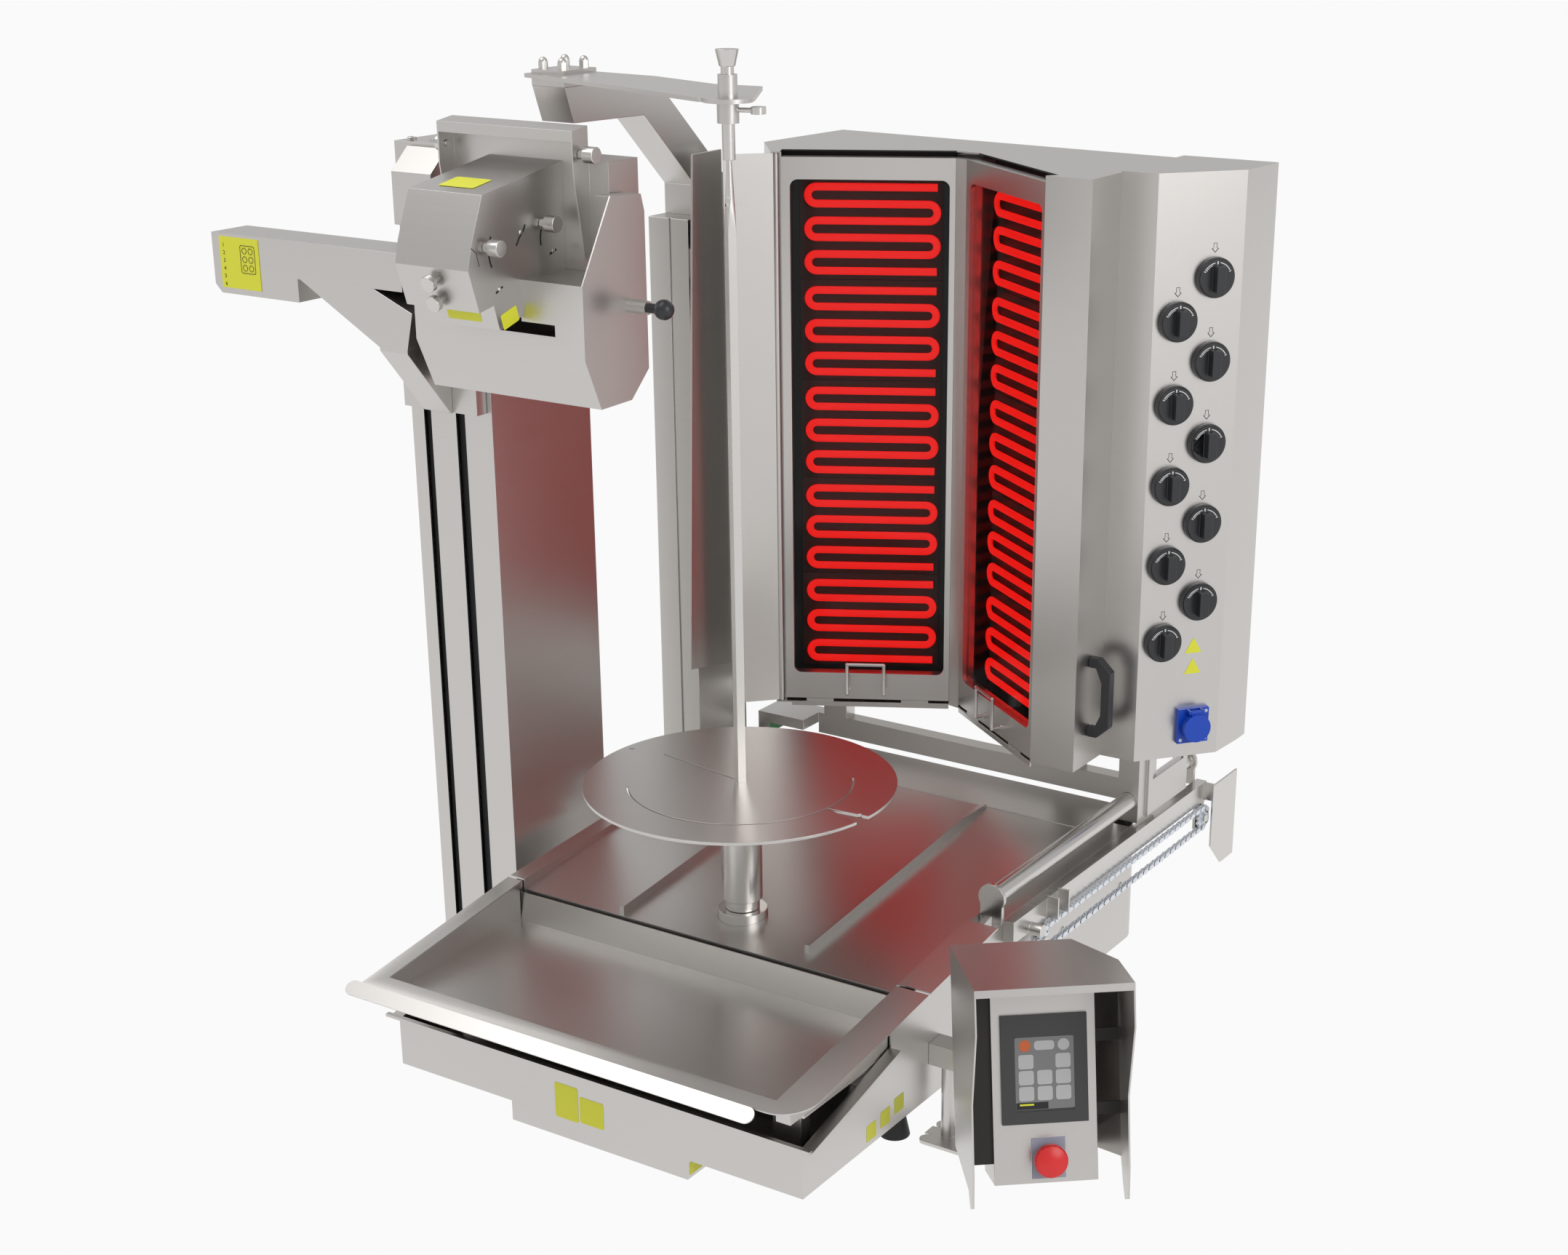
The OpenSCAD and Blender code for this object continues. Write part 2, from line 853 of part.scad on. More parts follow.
// Square blade bar, ground to a point that turns in the lift pin
module spit_bar() color("lightgray") place() translate([0, spit_y, disc_z + disc_t]) difference() {
    top = arm_z - pin_low + tip_in - disc_z - disc_t;
    intersection() {
        rotate([0, 0, bar_turn]) translate([-bar_w / 2, -bar_w / 2, 0]) cube([bar_w, bar_w, top]);
        union() {
            cylinder(d = 2 * bar_w, h = top - point_len);
            translate([0, 0, top - point_len]) cylinder(d1 = point_share * bar_w, d2 = point_d,
                h = point_len);
        }
    }
    rotate([0, 0, bar_turn]) rod_y([0, -bar_w, bar_h - bar_tip - tip_hole], hole_d / 2, 2 * bar_w);
}

module lift_pin() color("silver") place() {
    low = arm_z - pin_low;
    difference() {
        rod_z([0, spit_y, low], pin_d, pin_low + pin_top + plate);
        rod_z([0, spit_y, low - overrun], tip_bore_d, tip_in + 2 * pin_travel);
    }
    translate([0, spit_y, arm_z + plate + pin_top]) cylinder(d1 = flare_neck, d2 = flare_d, h = flare_h);
}

// Bore for the lift pin
module pin_bore() rod_z([0, spit_y, arm_z - sleeve_h - overrun], pin_d + 2 * running_fit, 3 * sleeve_h);

// Frame along the wing screw's line
module on_screw() translate([0, spit_y, arm_z - screw_drop]) rotate([0, 0, screw_turn]) rotate([0, 90, 0])
    children();

module arm_plate() color("silver") place() {
    difference() {
        union() {
            slab_z(arm_z, plate) {
                polygon(spread(arm_share, [-plate_left, spit_y], [plate_left, arm_root_back - spit_y]));
                translate([0, spit_y]) circle(arm_nose_r);
            }
            rod_z([0, spit_y, arm_z - sleeve_h], sleeve_d, sleeve_h);
            rod_z([0, spit_y, arm_z + plate], collar_d, collar_h);
        }
        pin_bore();
        on_screw() cylinder(d = screw_d + 2 * running_fit, h = sleeve_d);
    }
    block([goose_left, goose_front, goose_top], [goose_left + goose_w, goose_front + clamp_d, arm_z]);
    block([goose_left, goose_front, arm_z + plate], [goose_left + goose_w, goose_front + clamp_d,
        arm_z + 2 * plate]);
    for (x = [nut_gap, goose_w - nut_gap], y = [nut_gap, clamp_d - nut_gap])
        translate([goose_left + x, goose_front + y, arm_z + 2 * plate]) {
            cylinder(d = nut_d, h = nut_h - nut_d / 2, $fn = 6);
            translate([0, 0, nut_h - nut_d / 2]) sphere(d = nut_d * nut_dome_share);
        }
}

module wing_screw() color("silver") place() on_screw() {
    start = pin_d / 2 + fit;
    neck = sleeve_d / 2 + screw_len;
    translate([0, 0, start]) cylinder(d = screw_d, h = neck - start);
    translate([-wing_t / 2, 0, neck + wing_w / 2 - wing_sink]) rotate([0, 90, 0]) wing_head();
}

// Flat wing head with a round outline
module wing_head() linear_extrude(wing_t) {
    circle(d = wing_w);
    for (side = [-1, 1]) translate([0, side * (wing_h - wing_w) / 2]) circle(d = wing_w);
}

module lift_column() color("silver") place() {
    front = lift_y;
    difference() {
        block([lift_left, front, 0], [lift_right, front + lift_d, lift_h]);
        block([lift_left + column_t, front + column_t, column_t],
            [lift_right - column_t, front + lift_d - column_t, lift_h - column_t]);
        for (s = [[slot_a, slot_a_w], [slot_b, slot_b_w]])
            block([lift_left + s[0], front - overrun, slot_low],
                [lift_left + s[0] + s[1], front + 2 * column_t, slot_high]);
    }
    shell_x([[front, lift_h], [front + drive_d, lift_h], [front + drive_d, drive_top], [front, drive_top]],
        lift_left, drive_w, thin);
    shell_x([[front - drive_front, drive_low], [front - running_fit, drive_low],
        [front - running_fit, drive_top - hem],
        [front - drive_chamfer_gap, drive_top - hem], [front - drive_front, drive_top - drive_chamfer]],
        lift_left + cover_left, cover_w, thin);
    for (x = rivet_share_x, y = rivet_share_y)
        rod_z([lift_left + x * drive_w, front + y * drive_d, drive_top], rivet_d, rivet_h);
}

module rear_column() color("silver") place() {
    front = rear_col_y;
    back = front + rear_col_d;
    difference() {
        block([rear_col_left, front, 0], [rear_col_right, back, rear_col_h]);
        block([rear_col_left + column_t + groove, front + column_t + groove, column_t],
            [rear_col_right - column_t, back - column_t, rear_col_h - column_t]);
        block([rear_col_left + groove_x, front - overrun, -overrun],
            [rear_col_left + groove_x + groove, front + groove, rear_col_h + overrun]);
    }
    x = rear_col_right + shield_ledge;
    slab_x(x, shield_plate_t) polygon([[front - shield_front, shield_low + shield_slant],
        [front + shield_rear, shield_low], [front + shield_rear, shield_top], [front + hem, shield_top]]);
    for (z = [shield_low + 2 * frame_w, rear_col_h - 2 * frame_w])
        block([rear_col_right, front + hem, z], [x, front + frame_w, z + frame_w]);
}

module gooseneck() color("silver") place() {
    start = goose_front + goose_lean;
    foot = goose_rear + goose_foot;
    shell_x([[start, goose_top - goose_h], [goose_inner, goose_top - goose_inner_drop],
        [goose_rear, goose_leg_top],
        [goose_rear, rear_col_h], [foot, rear_col_h], [foot, goose_leg_top], [goose_leg, goose_leg_z],
        [goose_knee, goose_top], [goose_front, goose_top]], goose_left, goose_w, column_t);
}

module carriage() color("silver") robot() {
    back = lift_y - fit;
    left = lift_left + carriage_in;
    block([left, back - carriage_t, 0], [left + carriage_w, back, carriage_h]);
    for (s = [[slot_a, slot_a_w], [slot_b, slot_b_w]], z = [shoe_low, carriage_h - shoe_low - shoe_h]) {
        mid = lift_left + s[0] + s[1] / 2;
        inner = lift_y + column_t + fit;
        block([mid - shoe_w / 2, back, z], [mid + shoe_w / 2, inner, z + shoe_h]);
        block([mid - shoe_plate_w / 2, inner, z], [mid + shoe_plate_w / 2, inner + shoe_t, z + shoe_h]);
    }
}

// Left end and front of the console arm
arm_left = arm_right + console_len;
arm_front = lift_y - front_gap;
module console_arm() color("silver") robot() {
    top = arm_up + console_h;
    low = arm_up - arm_drop;
    outline = [[-arm_right, top], [-arm_left, top], [-arm_left, low + arm_chamfer],
        [arm_chamfer - arm_left, low],
        [arm_deep - arm_left, low], [arm_deep - arm_left, arm_up], [-arm_right, arm_up]];
    slab_y(arm_front, console_d) bent(outline, arm_t);
    for (y = [arm_front, arm_front + console_d - arm_t]) slab_y(y, arm_t) polygon(outline);
    difference() {
        block([-arm_right - bush_w, arm_front + arm_t, arm_up + arm_t],
            [-arm_right, arm_front + console_d - arm_t, top - arm_t]);
        feed_hole(feed_play);
    }
    strut_top = arm_up - strut_drop;
    shell_y([[arm_deep - arm_left + hem, arm_up], [-arm_right - strut_w + hem, strut_top],
        [-arm_right + hem / 2, strut_top],
        [strut_bulge - arm_right, strut_top + strut_w], [-arm_right - strut_w, arm_up]], arm_front,
            console_d, arm_t);
    plate_y = lift_y - fit - carriage_t;
    slab_x(-arm_right - strut_w + hem, strut_w - hem / 2) polygon([[arm_front, strut_top],
        [arm_front, strut_top - hem],
        [plate_y - hem, 0], [plate_y, 0], [plate_y, strut_top]]);
}

// Square bar that carries the head, or its hole with a clearance
module feed_hole(play) {
    y = arm_front + console_d / 2;
    z = arm_up + console_h / 2;
    r = feed_w / 2 + play;
    block([-arm_right - feed_len, y - r, z - r], [-trough_left, y + r, z + r]);
}

module key_plate() color("yellow") robot() {
    low = arm_up + console_h - key_h;
    block([key_in - arm_left, arm_front - key_t, low - hem], [key_in + key_w - arm_left, arm_front,
        low - hem + key_h]);
}

// Slanted face that carries the press buttons
face_a = [head_share[6][0] * head_d, head_share[6][1] * head_h];
face_b = [head_share[7][0] * head_d, head_share[7][1] * head_h];
face_turn = atan2(face_b[0] - face_a[0], face_a[1] - face_b[1]);
module on_face(share) translate([-button_x,
    arm_front - head_front + face_a[0] + (face_b[0] - face_a[0]) * share,
    head_up + face_a[1] + (face_b[1] - face_a[1]) * share]) rotate([90 + face_turn, 0, 0]) children();

// Places of the side knobs on the head's right face
module on_side(share) translate([head_w - head_left, arm_front - head_front + share[0] * head_d,
    head_up + share[1] * head_h]) rotate([0, 90, 0]) children();

module head_housing() color("silver") robot() difference() {
    shell_x(spread(head_share, [arm_front - head_front, head_up], [head_d, head_h]), -head_left, head_w,
        head_t);
    for (s = [button_low_share, button_high_share]) on_face(s)
        translate([0, 0, -stem_d]) cylinder(d = button_stem_d + 2 * running_fit, h = 2 * stem_d);
    for (s = [knob_front_share, knob_rear_share]) on_side(s)
        translate([0, 0, -side_stem_h]) cylinder(d = small_pin + 2 * running_fit, h = 2 * side_stem_h);
}

module button(share) color("silver") robot() on_face(share) {
    translate([0, 0, -button_cap]) cylinder(d = button_stem_d, h = 2 * button_cap);
    translate([0, 0, button_travel + fit]) cylinder(d = button_d, h = button_cap);
}
module button_upper() button(button_high_share);
module button_lower() button(button_low_share);

// Clamp knob with a stem
module clamp_knob(reach, stem, head) {
    translate([0, 0, -reach]) cylinder(d = small_pin, h = reach + stem);
    translate([0, 0, fit]) cylinder(d = small_pin * boss_share, h = stem);
    translate([0, 0, stem]) cylinder(d = button_d, h = head);
}
module side_knob_front() color("silver") robot() on_side(knob_front_share)
    clamp_knob(button_cap, side_stem_h, side_knob_h);
module side_knob_rear() color("silver") robot() on_side(knob_rear_share) clamp_knob(button_cap, side_stem_h,
    side_knob_h);

// Trough outline between two corners, from shares of its depth and height
function trough_points(table_share) = spread(table_share, [arm_front, trough_up], [trough_d, trough_h]);

module trough() color("lightgray") robot() {
    right = trough_w - trough_left;
    side = trough_side_gap - trough_left;
    top = trough_up + trough_h * trough_top_share;
    head_right = head_w - head_left;
    back = arm_front - head_front + head_d;
    low = head_up + head_sink;
    difference() {
        union() {
            slab_x(side, right - side) bent(trough_points(trough_sheet_share), trough_t);
            slab_x(-trough_left, trough_side_gap) bent(trough_points(trough_short_share), trough_t);
            block([-trough_left, arm_front, top - trough_t], [right - trough_t, back, top]);
        }
        block([-head_left, arm_front - overrun, low], [head_right, back + overrun, top + overrun]);
        block([head_right - slot_low_w + hem, arm_front - overrun, low - slot_low_h],
            [head_right + slot_low_w, arm_front + 2 * trough_t, low]);
    }
    slab_x(-trough_left, trough_t) polygon(trough_points(trough_end_share));
    slab_x(side, trough_t) polygon(trough_points(trough_step_share));
    difference() {
        slab_x(right - trough_t, trough_t) polygon(trough_points(trough_plate_share));
        on_plunger() translate([0, 0, -bush_len]) cylinder(d = plunger_d + 2 * running_fit,
            h = 2 * bush_len);
    }
    slab_x(right - trough_t - hem_depth, hem_depth) bent(trough_points(trough_hem_share), trough_t);
    on_plunger() difference() {
        cylinder(d = bush_d, h = bush_len);
        translate([0, 0, -overrun]) cylinder(d = plunger_d + 2 * running_fit, h = bush_len + 2 * overrun);
    }
    difference() {
        union() {
            block([head_right, blade_y - spindle_box / 2, blade_up - spindle_h / 2],
                [head_right + spindle_w, blade_y + spindle_box / 2, blade_up + spindle_h / 2]);
            block([head_right, blade_y - spindle_box / 2, blade_up],
                [head_right + spindle_box, blade_y + spindle_box / 2, top - trough_t]);
        }
        rod_x([head_right - overrun, blade_y, blade_up], spindle_d + 2 * running_fit,
            spindle_w + 2 * overrun);
    }
    feed_hole(0);
}

module blade() color("gray") robot() {
    start = head_w - head_left + hem;
    rod_x([start, blade_y, blade_up], spindle_d, -blade_x - start);
    rod_x([-blade_x, blade_y, blade_up], blade_d, blade_t);
}

// Frame along the plunger's line, from the end plate outwards
module on_plunger() translate([trough_w - trough_left, plunger_y, plunger_up]) rotate([0, 90, 0])
    children();

module plunger() color("dimgray") robot() on_plunger() {
    translate([0, 0, -bush_d / 2]) cylinder(d = plunger_d, h = bush_d / 2 + ball_out);
    translate([0, 0, bush_len + fit]) cylinder(d = plunger_d * boss_share,
        h = ball_out - bush_len - ball_d * ball_sink_share);
    translate([0, 0, ball_out]) sphere(d = ball_d);
}

// Places of the shield knobs, on both flanges
back_y = arm_front - head_front + head_d;
module on_flange(side) translate([side > 0 ? back_w - back_left : -back_left, back_y - back_lip / 2,
    back_knob_up])
    rotate([0, side * 90, 0]) children();

module back_shield() color("silver") robot() difference() {
    low = trough_up + trough_h * trough_top_share;
    top = low + shield_h;
    right = back_w - back_left;
    union() {
        block([-back_left, back_y, low], [right, back_y + thin, top]);
        slab_x(-back_left, back_w) bent([[back_y, top], [back_y - back_lip, top - hem],
            [back_y - back_lip, top - back_flange]], thin);
        for (x = [-back_left, right - thin]) slab_x(x, thin) polygon([[back_y, low], [back_y, top],
            [back_y - back_lip, top - hem], [back_y - back_lip, top - 2 * back_lip],
                [back_y - back_flange / 2, low]]);
        shell_x([[back_y + thin, motor_low], [back_y + motor_d, motor_low],
            [back_y + motor_d, motor_low + motor_h],
            [back_y + thin, motor_low + motor_h]], -motor_right - motor_w, motor_w, thin);
    }
    for (side = [-1, 1]) on_flange(side)
        translate([0, 0, -side_stem_h]) cylinder(d = small_pin + 2 * running_fit, h = 2 * side_stem_h);
}
module shield_knob_left() color("silver") robot() on_flange(-1) clamp_knob(hem, thin, button_cap);
module shield_knob_right() color("silver") robot() on_flange(1) clamp_knob(hem, side_stem_h, side_knob_h);

// Frames on the two door faces, with the distance along the door and the height
module on_left(s, z) translate([-door_left_x, door_left_y, 0]) rotate([0, 0, door_left_turn])
    translate([s, 0, z])
    rotate([90, 0, 0]) children();
module on_right(s, z) translate([door_right_x, door_right_y, 0]) rotate([0, 0, door_right_turn])
    translate([s, 0, z])
    rotate([90, 0, 0]) children();

// Plan points along each door, moved out of its face
function way(turn) = [cos(turn), sin(turn)];
function out(turn) = [sin(turn), -cos(turn)];
function left_pt(s, o) = [-door_left_x, door_left_y] + s * way(door_left_turn) + o * out(door_left_turn);
function right_pt(s, o) = [door_right_x, door_right_y] + s * way(door_right_turn)
    + o * out(door_right_turn);
heater_top = heater_z + heater_h;
window_z = heater_z + door_foot + window_low;
window_h = heater_h - 2 * door_foot - window_low - window_top;
door_h = heater_h - 2 * door_foot;

module heater_shell() color("silver") place() {
    left_jamb = left_pt(-jamb_w, -door_t / 2);
    corner_right = [heater_right, side_front_y];
    back_right = [heater_right, heater_back_right];
    back_left = [-heater_left + back_taper, heater_back_left];
    front_left = [-heater_left, heater_front_left];
    right_edge = door_r_w + fit;
    left_edge = door_l_w + fit;
    apex = [(left_pt(0, -liner_back)[0] + right_pt(door_r_w, -liner_back)[0]) / 2 + apex_shift, apex_y];
    slab_z(heater_z, heater_h) ring([right_pt(right_edge, -liner_back), right_pt(right_edge, 0),
        corner_right,
        back_right, back_left, front_left, left_jamb, left_pt(-fit, -door_t / 2),
            left_pt(-fit, -liner_back), apex],
        shell_t);
    slab_z(heater_z, heater_h - door_foot) polygon([left_pt(left_edge, 0), right_pt(-fit, 0),
        right_pt(-fit, -liner_back), left_pt(left_edge, -liner_back)]);
    slab_z(heater_z, shell_t) polygon([left_pt(-jamb_w, hinge_d / 2), left_pt(left_edge, 0),
        right_pt(-fit, 0),
        right_pt(right_edge, 0), corner_right, back_right, back_left, front_left]);
    slab_z(heater_top, shell_t) polygon([left_pt(-jamb_w, hinge_d / 2), left_pt(-fit, hinge_d / 2),
        left_pt(-fit, -door_t - fit), left_pt(left_edge, -door_t - fit), right_pt(-fit, -door_t - fit),
        right_pt(right_edge, -door_t - fit), right_pt(right_edge, 0), corner_right, back_right, back_left,
            front_left]);
    for (s = [sill_in, door_l_w - sill_in - sill_w]) on_left(s, heater_z + shell_t)
        translate([0, 0, -door_t]) cube([sill_w, door_foot - shell_t - fit, door_t]);
    for (s = [sill_in, door_r_w - sill_in - sill_w]) on_right(s, heater_z + shell_t)
        translate([0, 0, -door_t]) cube([sill_w, door_foot - shell_t - fit, door_t]);
    for (z = [heater_z, heater_top - 2 * hinge_d]) translate([hinge_at[0], hinge_at[1], z])
        cylinder(d = hinge_d / 2, h = 2 * hinge_d + shell_t / 2);
    slab_z(heater_z - drip_h, drip_h) {
        polygon([left_pt(drip_in, -thin), left_pt(door_l_w, -thin), left_pt(door_l_w, 0),
            left_pt(drip_in, 0)]);
        polygon([right_pt(0, -thin), right_pt(door_r_w, -thin), right_pt(door_r_w, 0), right_pt(0, 0)]);
    }
}

// Line of the left wing's hinge
hinge_at = left_pt(-jamb_w / 2, 0);
module left_wing() color("silver") place() translate([hinge_at[0], hinge_at[1],
    heater_z + shell_t + wing_gap]) {
    h = heater_h - shell_t - 2 * wing_gap;
    difference() {
        union() {
            cylinder(d = hinge_d, h = h);
            rotate([0, 0, wing_angle]) translate([0, -shell_t / 2, 0]) cube([wing_len, shell_t, h]);
        }
        translate([0, 0, -overrun]) cylinder(d = hinge_d / 2 + 2 * running_fit, h = h + 2 * overrun);
    }
}

// Framed door without its glass, in its face's frame
module door(w) {
    difference() {
        translate([0, 0, -door_t]) cube([w, door_h, door_t]);
        translate([window_in, window_low, -door_t - overrun])
            cube([window_w, window_h, door_t + 2 * overrun]);
    }
    for (s = [wire_in, wire_in + wire_w]) translate([s, wire_low, 0]) {
        cylinder(d = wire_pad, h = thin);
        cylinder(d = wire_d, h = wire_out);
        translate([0, 0, wire_out]) sphere(d = wire_ball);
        translate([0, 0, wire_out]) rotate([-90, 0, 0]) cylinder(d = wire_d, h = wire_high - wire_low);
        translate([0, wire_high - wire_low, wire_out]) sphere(d = wire_ball);
    }
    translate([wire_in, wire_high, wire_out]) rotate([0, 90, 0]) cylinder(d = wire_d, h = wire_w);
}
module glass() translate([window_in, window_low, -glass_back - glass_t])
    cube([window_w, window_h, glass_t]);
module door_left() color("silver") place() on_left(0, heater_z + door_foot) door(door_l_w);
module door_right() color("silver") place() on_right(0, heater_z + door_foot) door(door_r_w);
module glass_left() color("black") place() on_left(0, heater_z + door_foot) glass();
module glass_right() color("black") place() on_right(0, heater_z + door_foot) glass();

// Middle line of one zone's winding element, from its lowest bar up
function winding_path(len, step) = let (r = step / 2) concat([[len, 0]], [for (i = [0 : bars - 2],
    a = [0 : bend_step : 180])
    [i % 2 == 0 ? r - r * sin(a) : len - r + r * sin(a), i * step + r - r * cos(a)]],
        [[len, (bars - 1) * step]]);

// One zone's winding element with its two legs
module winding(len, step) {
    path = winding_path(len, step);
    half = element_d / 2;
    last = len(path) - 1;
    translate([0, 0, -half]) linear_extrude(element_d) polygon(concat(
        [for (i = [0 : last]) inset(path, i, half, false)], [for (i = [last : -1 : 0]) inset(path, i, -half,
            false)]));
    for (i = [0, last]) translate([len - element_d, path[i][1] - half, element_back - liner_back + 2 * fit])
        cube([element_d, element_d, liner_back - element_back - 2 * fit]);
}
module elements() color("red") place() {
    zone = window_h / zones;
    step = zone * (1 - zone_gap_share) / (bars - 1);
    for (i = [0 : zones - 1]) {
        z = window_z + i * zone + (zone - (bars - 1) * step) / 2;
        on_left(window_in + element_in, z) translate([0, 0, -element_back])
            winding(window_w * element_share, step);
        on_right(window_in + element_in, z) translate([0, 0, -element_back])
            winding(window_w * element_share, step);
    }
}

module side_handle() color("black") place() {
    z = heater_z + grip_low;
    h = grip_high - grip_low;
    slab_y(grip_y - grip_t / 2, grip_t)
        polygon([[heater_right, z], [heater_right + grip_out * grip_bend_share, z],
        [heater_right + grip_out, z + grip_out / 2], [heater_right + grip_out, z + h - grip_out / 2],
        [heater_right + grip_out * grip_bend_share, z + h], [heater_right, z + h],
            [heater_right, z + h - grip_t],
        [heater_right + grip_out / 3, z + h - grip_t], [heater_right + grip_out - grip_t, z + h - grip_out],
        [heater_right + grip_out - grip_t, z + grip_out], [heater_right + grip_out / 3, z + grip_t],
        [heater_right, z + grip_t]]);
}

module heater_beam() color("gray") place() {
    front = beam_y - beam_w / 2;
    back = front + beam_w;
    block([-beam_left, front, beam_low], [slide_x - block_w / 2, back, beam_low + beam_h]);
    for (x = [beam_post_x - beam_left, beam_left - post_w]) block([x, front, beam_low + beam_h],
        [x + post_w, back, heater_z]);
    difference() {
        block([slide_x - block_w / 2, front, block_low], [slide_x + block_w / 2, back + block_w, heater_z]);
        rod_y([slide_x, front - overrun, slide_z], slide_d + 2 * running_fit, 2 * block_w + beam_w);
    }
    block([-tray_half + thin, front - glide_len, rail_top + fit + glide_h],
        [-beam_left, back, beam_low + beam_h]);
    block([-tray_half + thin, front - glide_len, rail_top + fit],
        [glide_w - tray_half, front, rail_top + fit + glide_h]);
    frame_left = slide_x + block_w / 2;
    difference() {
        block([frame_left, back, block_low + hem], [frame_left + frame_t, frame_back, heater_z]);
        block([frame_left - overrun, back + win_margin, win_low],
            [frame_left + 2 * frame_t, frame_back - win_margin, heater_z - win_margin]);
    }
}

// Frame on the control box's slanted panel, with the distance along it and the height
module on_panel(s, z) translate([box_face_x, box_face_y, 0]) rotate([0, 0, box_turn]) translate([s, 0, z])
    rotate([90, 0, 0]) children();
function knob_z(i) = heater_top - knob_first - i * knob_step;

module control_box() color("silver") place() difference() {
    far = [box_face_x, box_face_y] + box_face_w * way(box_turn);
    outline = [[heater_right, side_back_y], [box_face_x, box_face_y], far, [box_out, box_side_y],
        [box_out, box_back_y], [heater_right, box_back_y]];
    union() {
        slab_z(heater_z, heater_h + box_top_up) ring(outline, box_t);
        for (z = [heater_z, heater_top + box_top_up - box_t]) slab_z(z, box_t) polygon(outline);
    }
    for (i = [0 : knobs - 1]) on_panel(knob_s_share[i % 2] * box_face_w, knob_z(i))
        translate([0, 0, -knob_shaft_len]) cylinder(d = knob_shaft_d + 2 * running_fit,
            h = 2 * knob_shaft_len);
}

module knob(i) color("black") place() on_panel(knob_s_share[i % 2] * box_face_w, knob_z(i)) {
    body_d = knob_d * knob_body_share;
    grip_w = knob_d * knob_grip_w_share;
    grip_len = knob_d * knob_grip_share;
    translate([0, 0, -knob_shaft_len]) cylinder(d = knob_shaft_d, h = knob_shaft_len + knob_base_h);
    translate([0, 0, fit]) cylinder(d = knob_d, h = knob_base_h - fit);
    translate([0, 0, knob_base_h]) cylinder(d = body_d, h = knob_body_h);
    translate([-grip_w / 2, -grip_len / 2, knob_base_h]) cube([grip_w, grip_len, knob_body_h + knob_grip_h]);
}
module knob_1() knob(0);
module knob_2() knob(1);
module knob_3() knob(2);
module knob_4() knob(3);
module knob_5() knob(4);
module knob_6() knob(5);
module knob_7() knob(6);
module knob_8() knob(7);
module knob_9() knob(8);
module knob_10() knob(9);

// Frame on the socket's middle
module on_socket() on_panel(socket_s_share * box_face_w, heater_z + socket_z) children();
module socket_base() color("blue") place() on_socket() {
    difference() {
        union() {
            translate([-socket_w / 2, -socket_h / 2, 0]) cube([socket_w, socket_h, socket_t]);
            cylinder(d = socket_d, h = 2 * socket_t);
        }
        translate([0, 0, thin]) cylinder(d = socket_d - 2 * column_t, h = 2 * socket_t);
    }
    for (side = [-1, 1]) translate([side * (lid_ear_w / 2 + fit) - (side < 0 ? column_t : 0),
        socket_h / 2 - lid_hinge_d, 0])
        cube([column_t, lid_hinge_d, 2 * socket_t + lid_hinge_d / 2]);
    translate([-lid_ear_w / 2 - column_t, socket_h / 2 - lid_hinge_d / 2, 2 * socket_t]) rotate([0, 90, 0])
        cylinder(d = lid_pin_d, h = lid_ear_w + 2 * column_t);
}
module socket_lid() color("blue") place() on_socket() difference() {
    z = 2 * socket_t + fit;
    y = socket_h / 2 - lid_hinge_d / 2;
    union() {
        translate([0, 0, z]) cylinder(d = socket_d + thin, h = lid_t);
        translate([-lid_ear_w / 2, 0, z]) cube([lid_ear_w, y, lid_t / 2]);
        translate([-lid_ear_w / 2, y, z - fit]) rotate([0, 90, 0]) cylinder(d = lid_hinge_d, h = lid_ear_w);
    }
    translate([-lid_ear_w, y, z - fit]) rotate([0, 90, 0]) cylinder(d = lid_pin_d + 2 * running_fit,
        h = 2 * lid_ear_w);
}

// Places along the right slide
beam_x = side_x;
beam_z = side_top - side_beam_h;
chain_r = pitch / (2 * sin(180 / teeth));
chain_back = chain_front + links * pitch / 2;

module slide_rail() color("silver") place() {
    rod_y([slide_x, slide_y + ear_t, slide_z], slide_d, slide_end - slide_y - ear_t);
    for (y = [slide_y, slide_end]) slab_y(y, ear_t) {
        translate([slide_x, slide_z]) circle(ear_r);
        translate([slide_x - ear_low_w, side_top]) square([2 * ear_low_w, slide_z - side_top]);
    }
    block([beam_x, side_beam_y, beam_z], [beam_x + side_beam_t, side_beam_end, side_top]);
    outer = beam_x + side_beam_t;
    for (y = [chain_front, chain_back]) {
        block([outer - hanger_t, y - hanger_w / 2, chain_z - hanger_w / 2],
            [outer, y + hanger_w / 2, beam_z + overrun]);
        rod_x([outer - hanger_t, y, chain_z], axle_d, chain_x - outer + hanger_t + axle_out);
        rod_x([chain_x + axle_out, y, chain_z], axle_d + hem, thin);
    }
    for (y = clip_y) block([outer, y, beam_z + hem], [outer + clip_w, y + column_t, side_top + hem]);
    rod_x([outer, chain_front - clip_w - roller_gap, beam_z + hem], clip_w, clip_w);
    plate_x = chain_x + axle_out + thin + fit;
    block([beam_x, side_beam_end, beam_z], [plate_x, side_beam_end + hem, side_top - hem]);
    slab_x(plate_x, end_plate_t) polygon([[end_plate_y, end_plate_low + frame_w],
        [end_plate_y + frame_w, end_plate_low],
        [end_plate_y + end_plate_d, end_plate_low], [end_plate_y + end_plate_d, side_top - hem],
            [end_plate_y, side_top - hem]]);
}

// Long round-ended outline of the chain's run in the YZ plane
module chain_run(r) {
    translate([chain_front, chain_z - r]) square([chain_back - chain_front, 2 * r]);
    for (y = [chain_front, chain_back]) translate([y, chain_z]) circle(r);
}

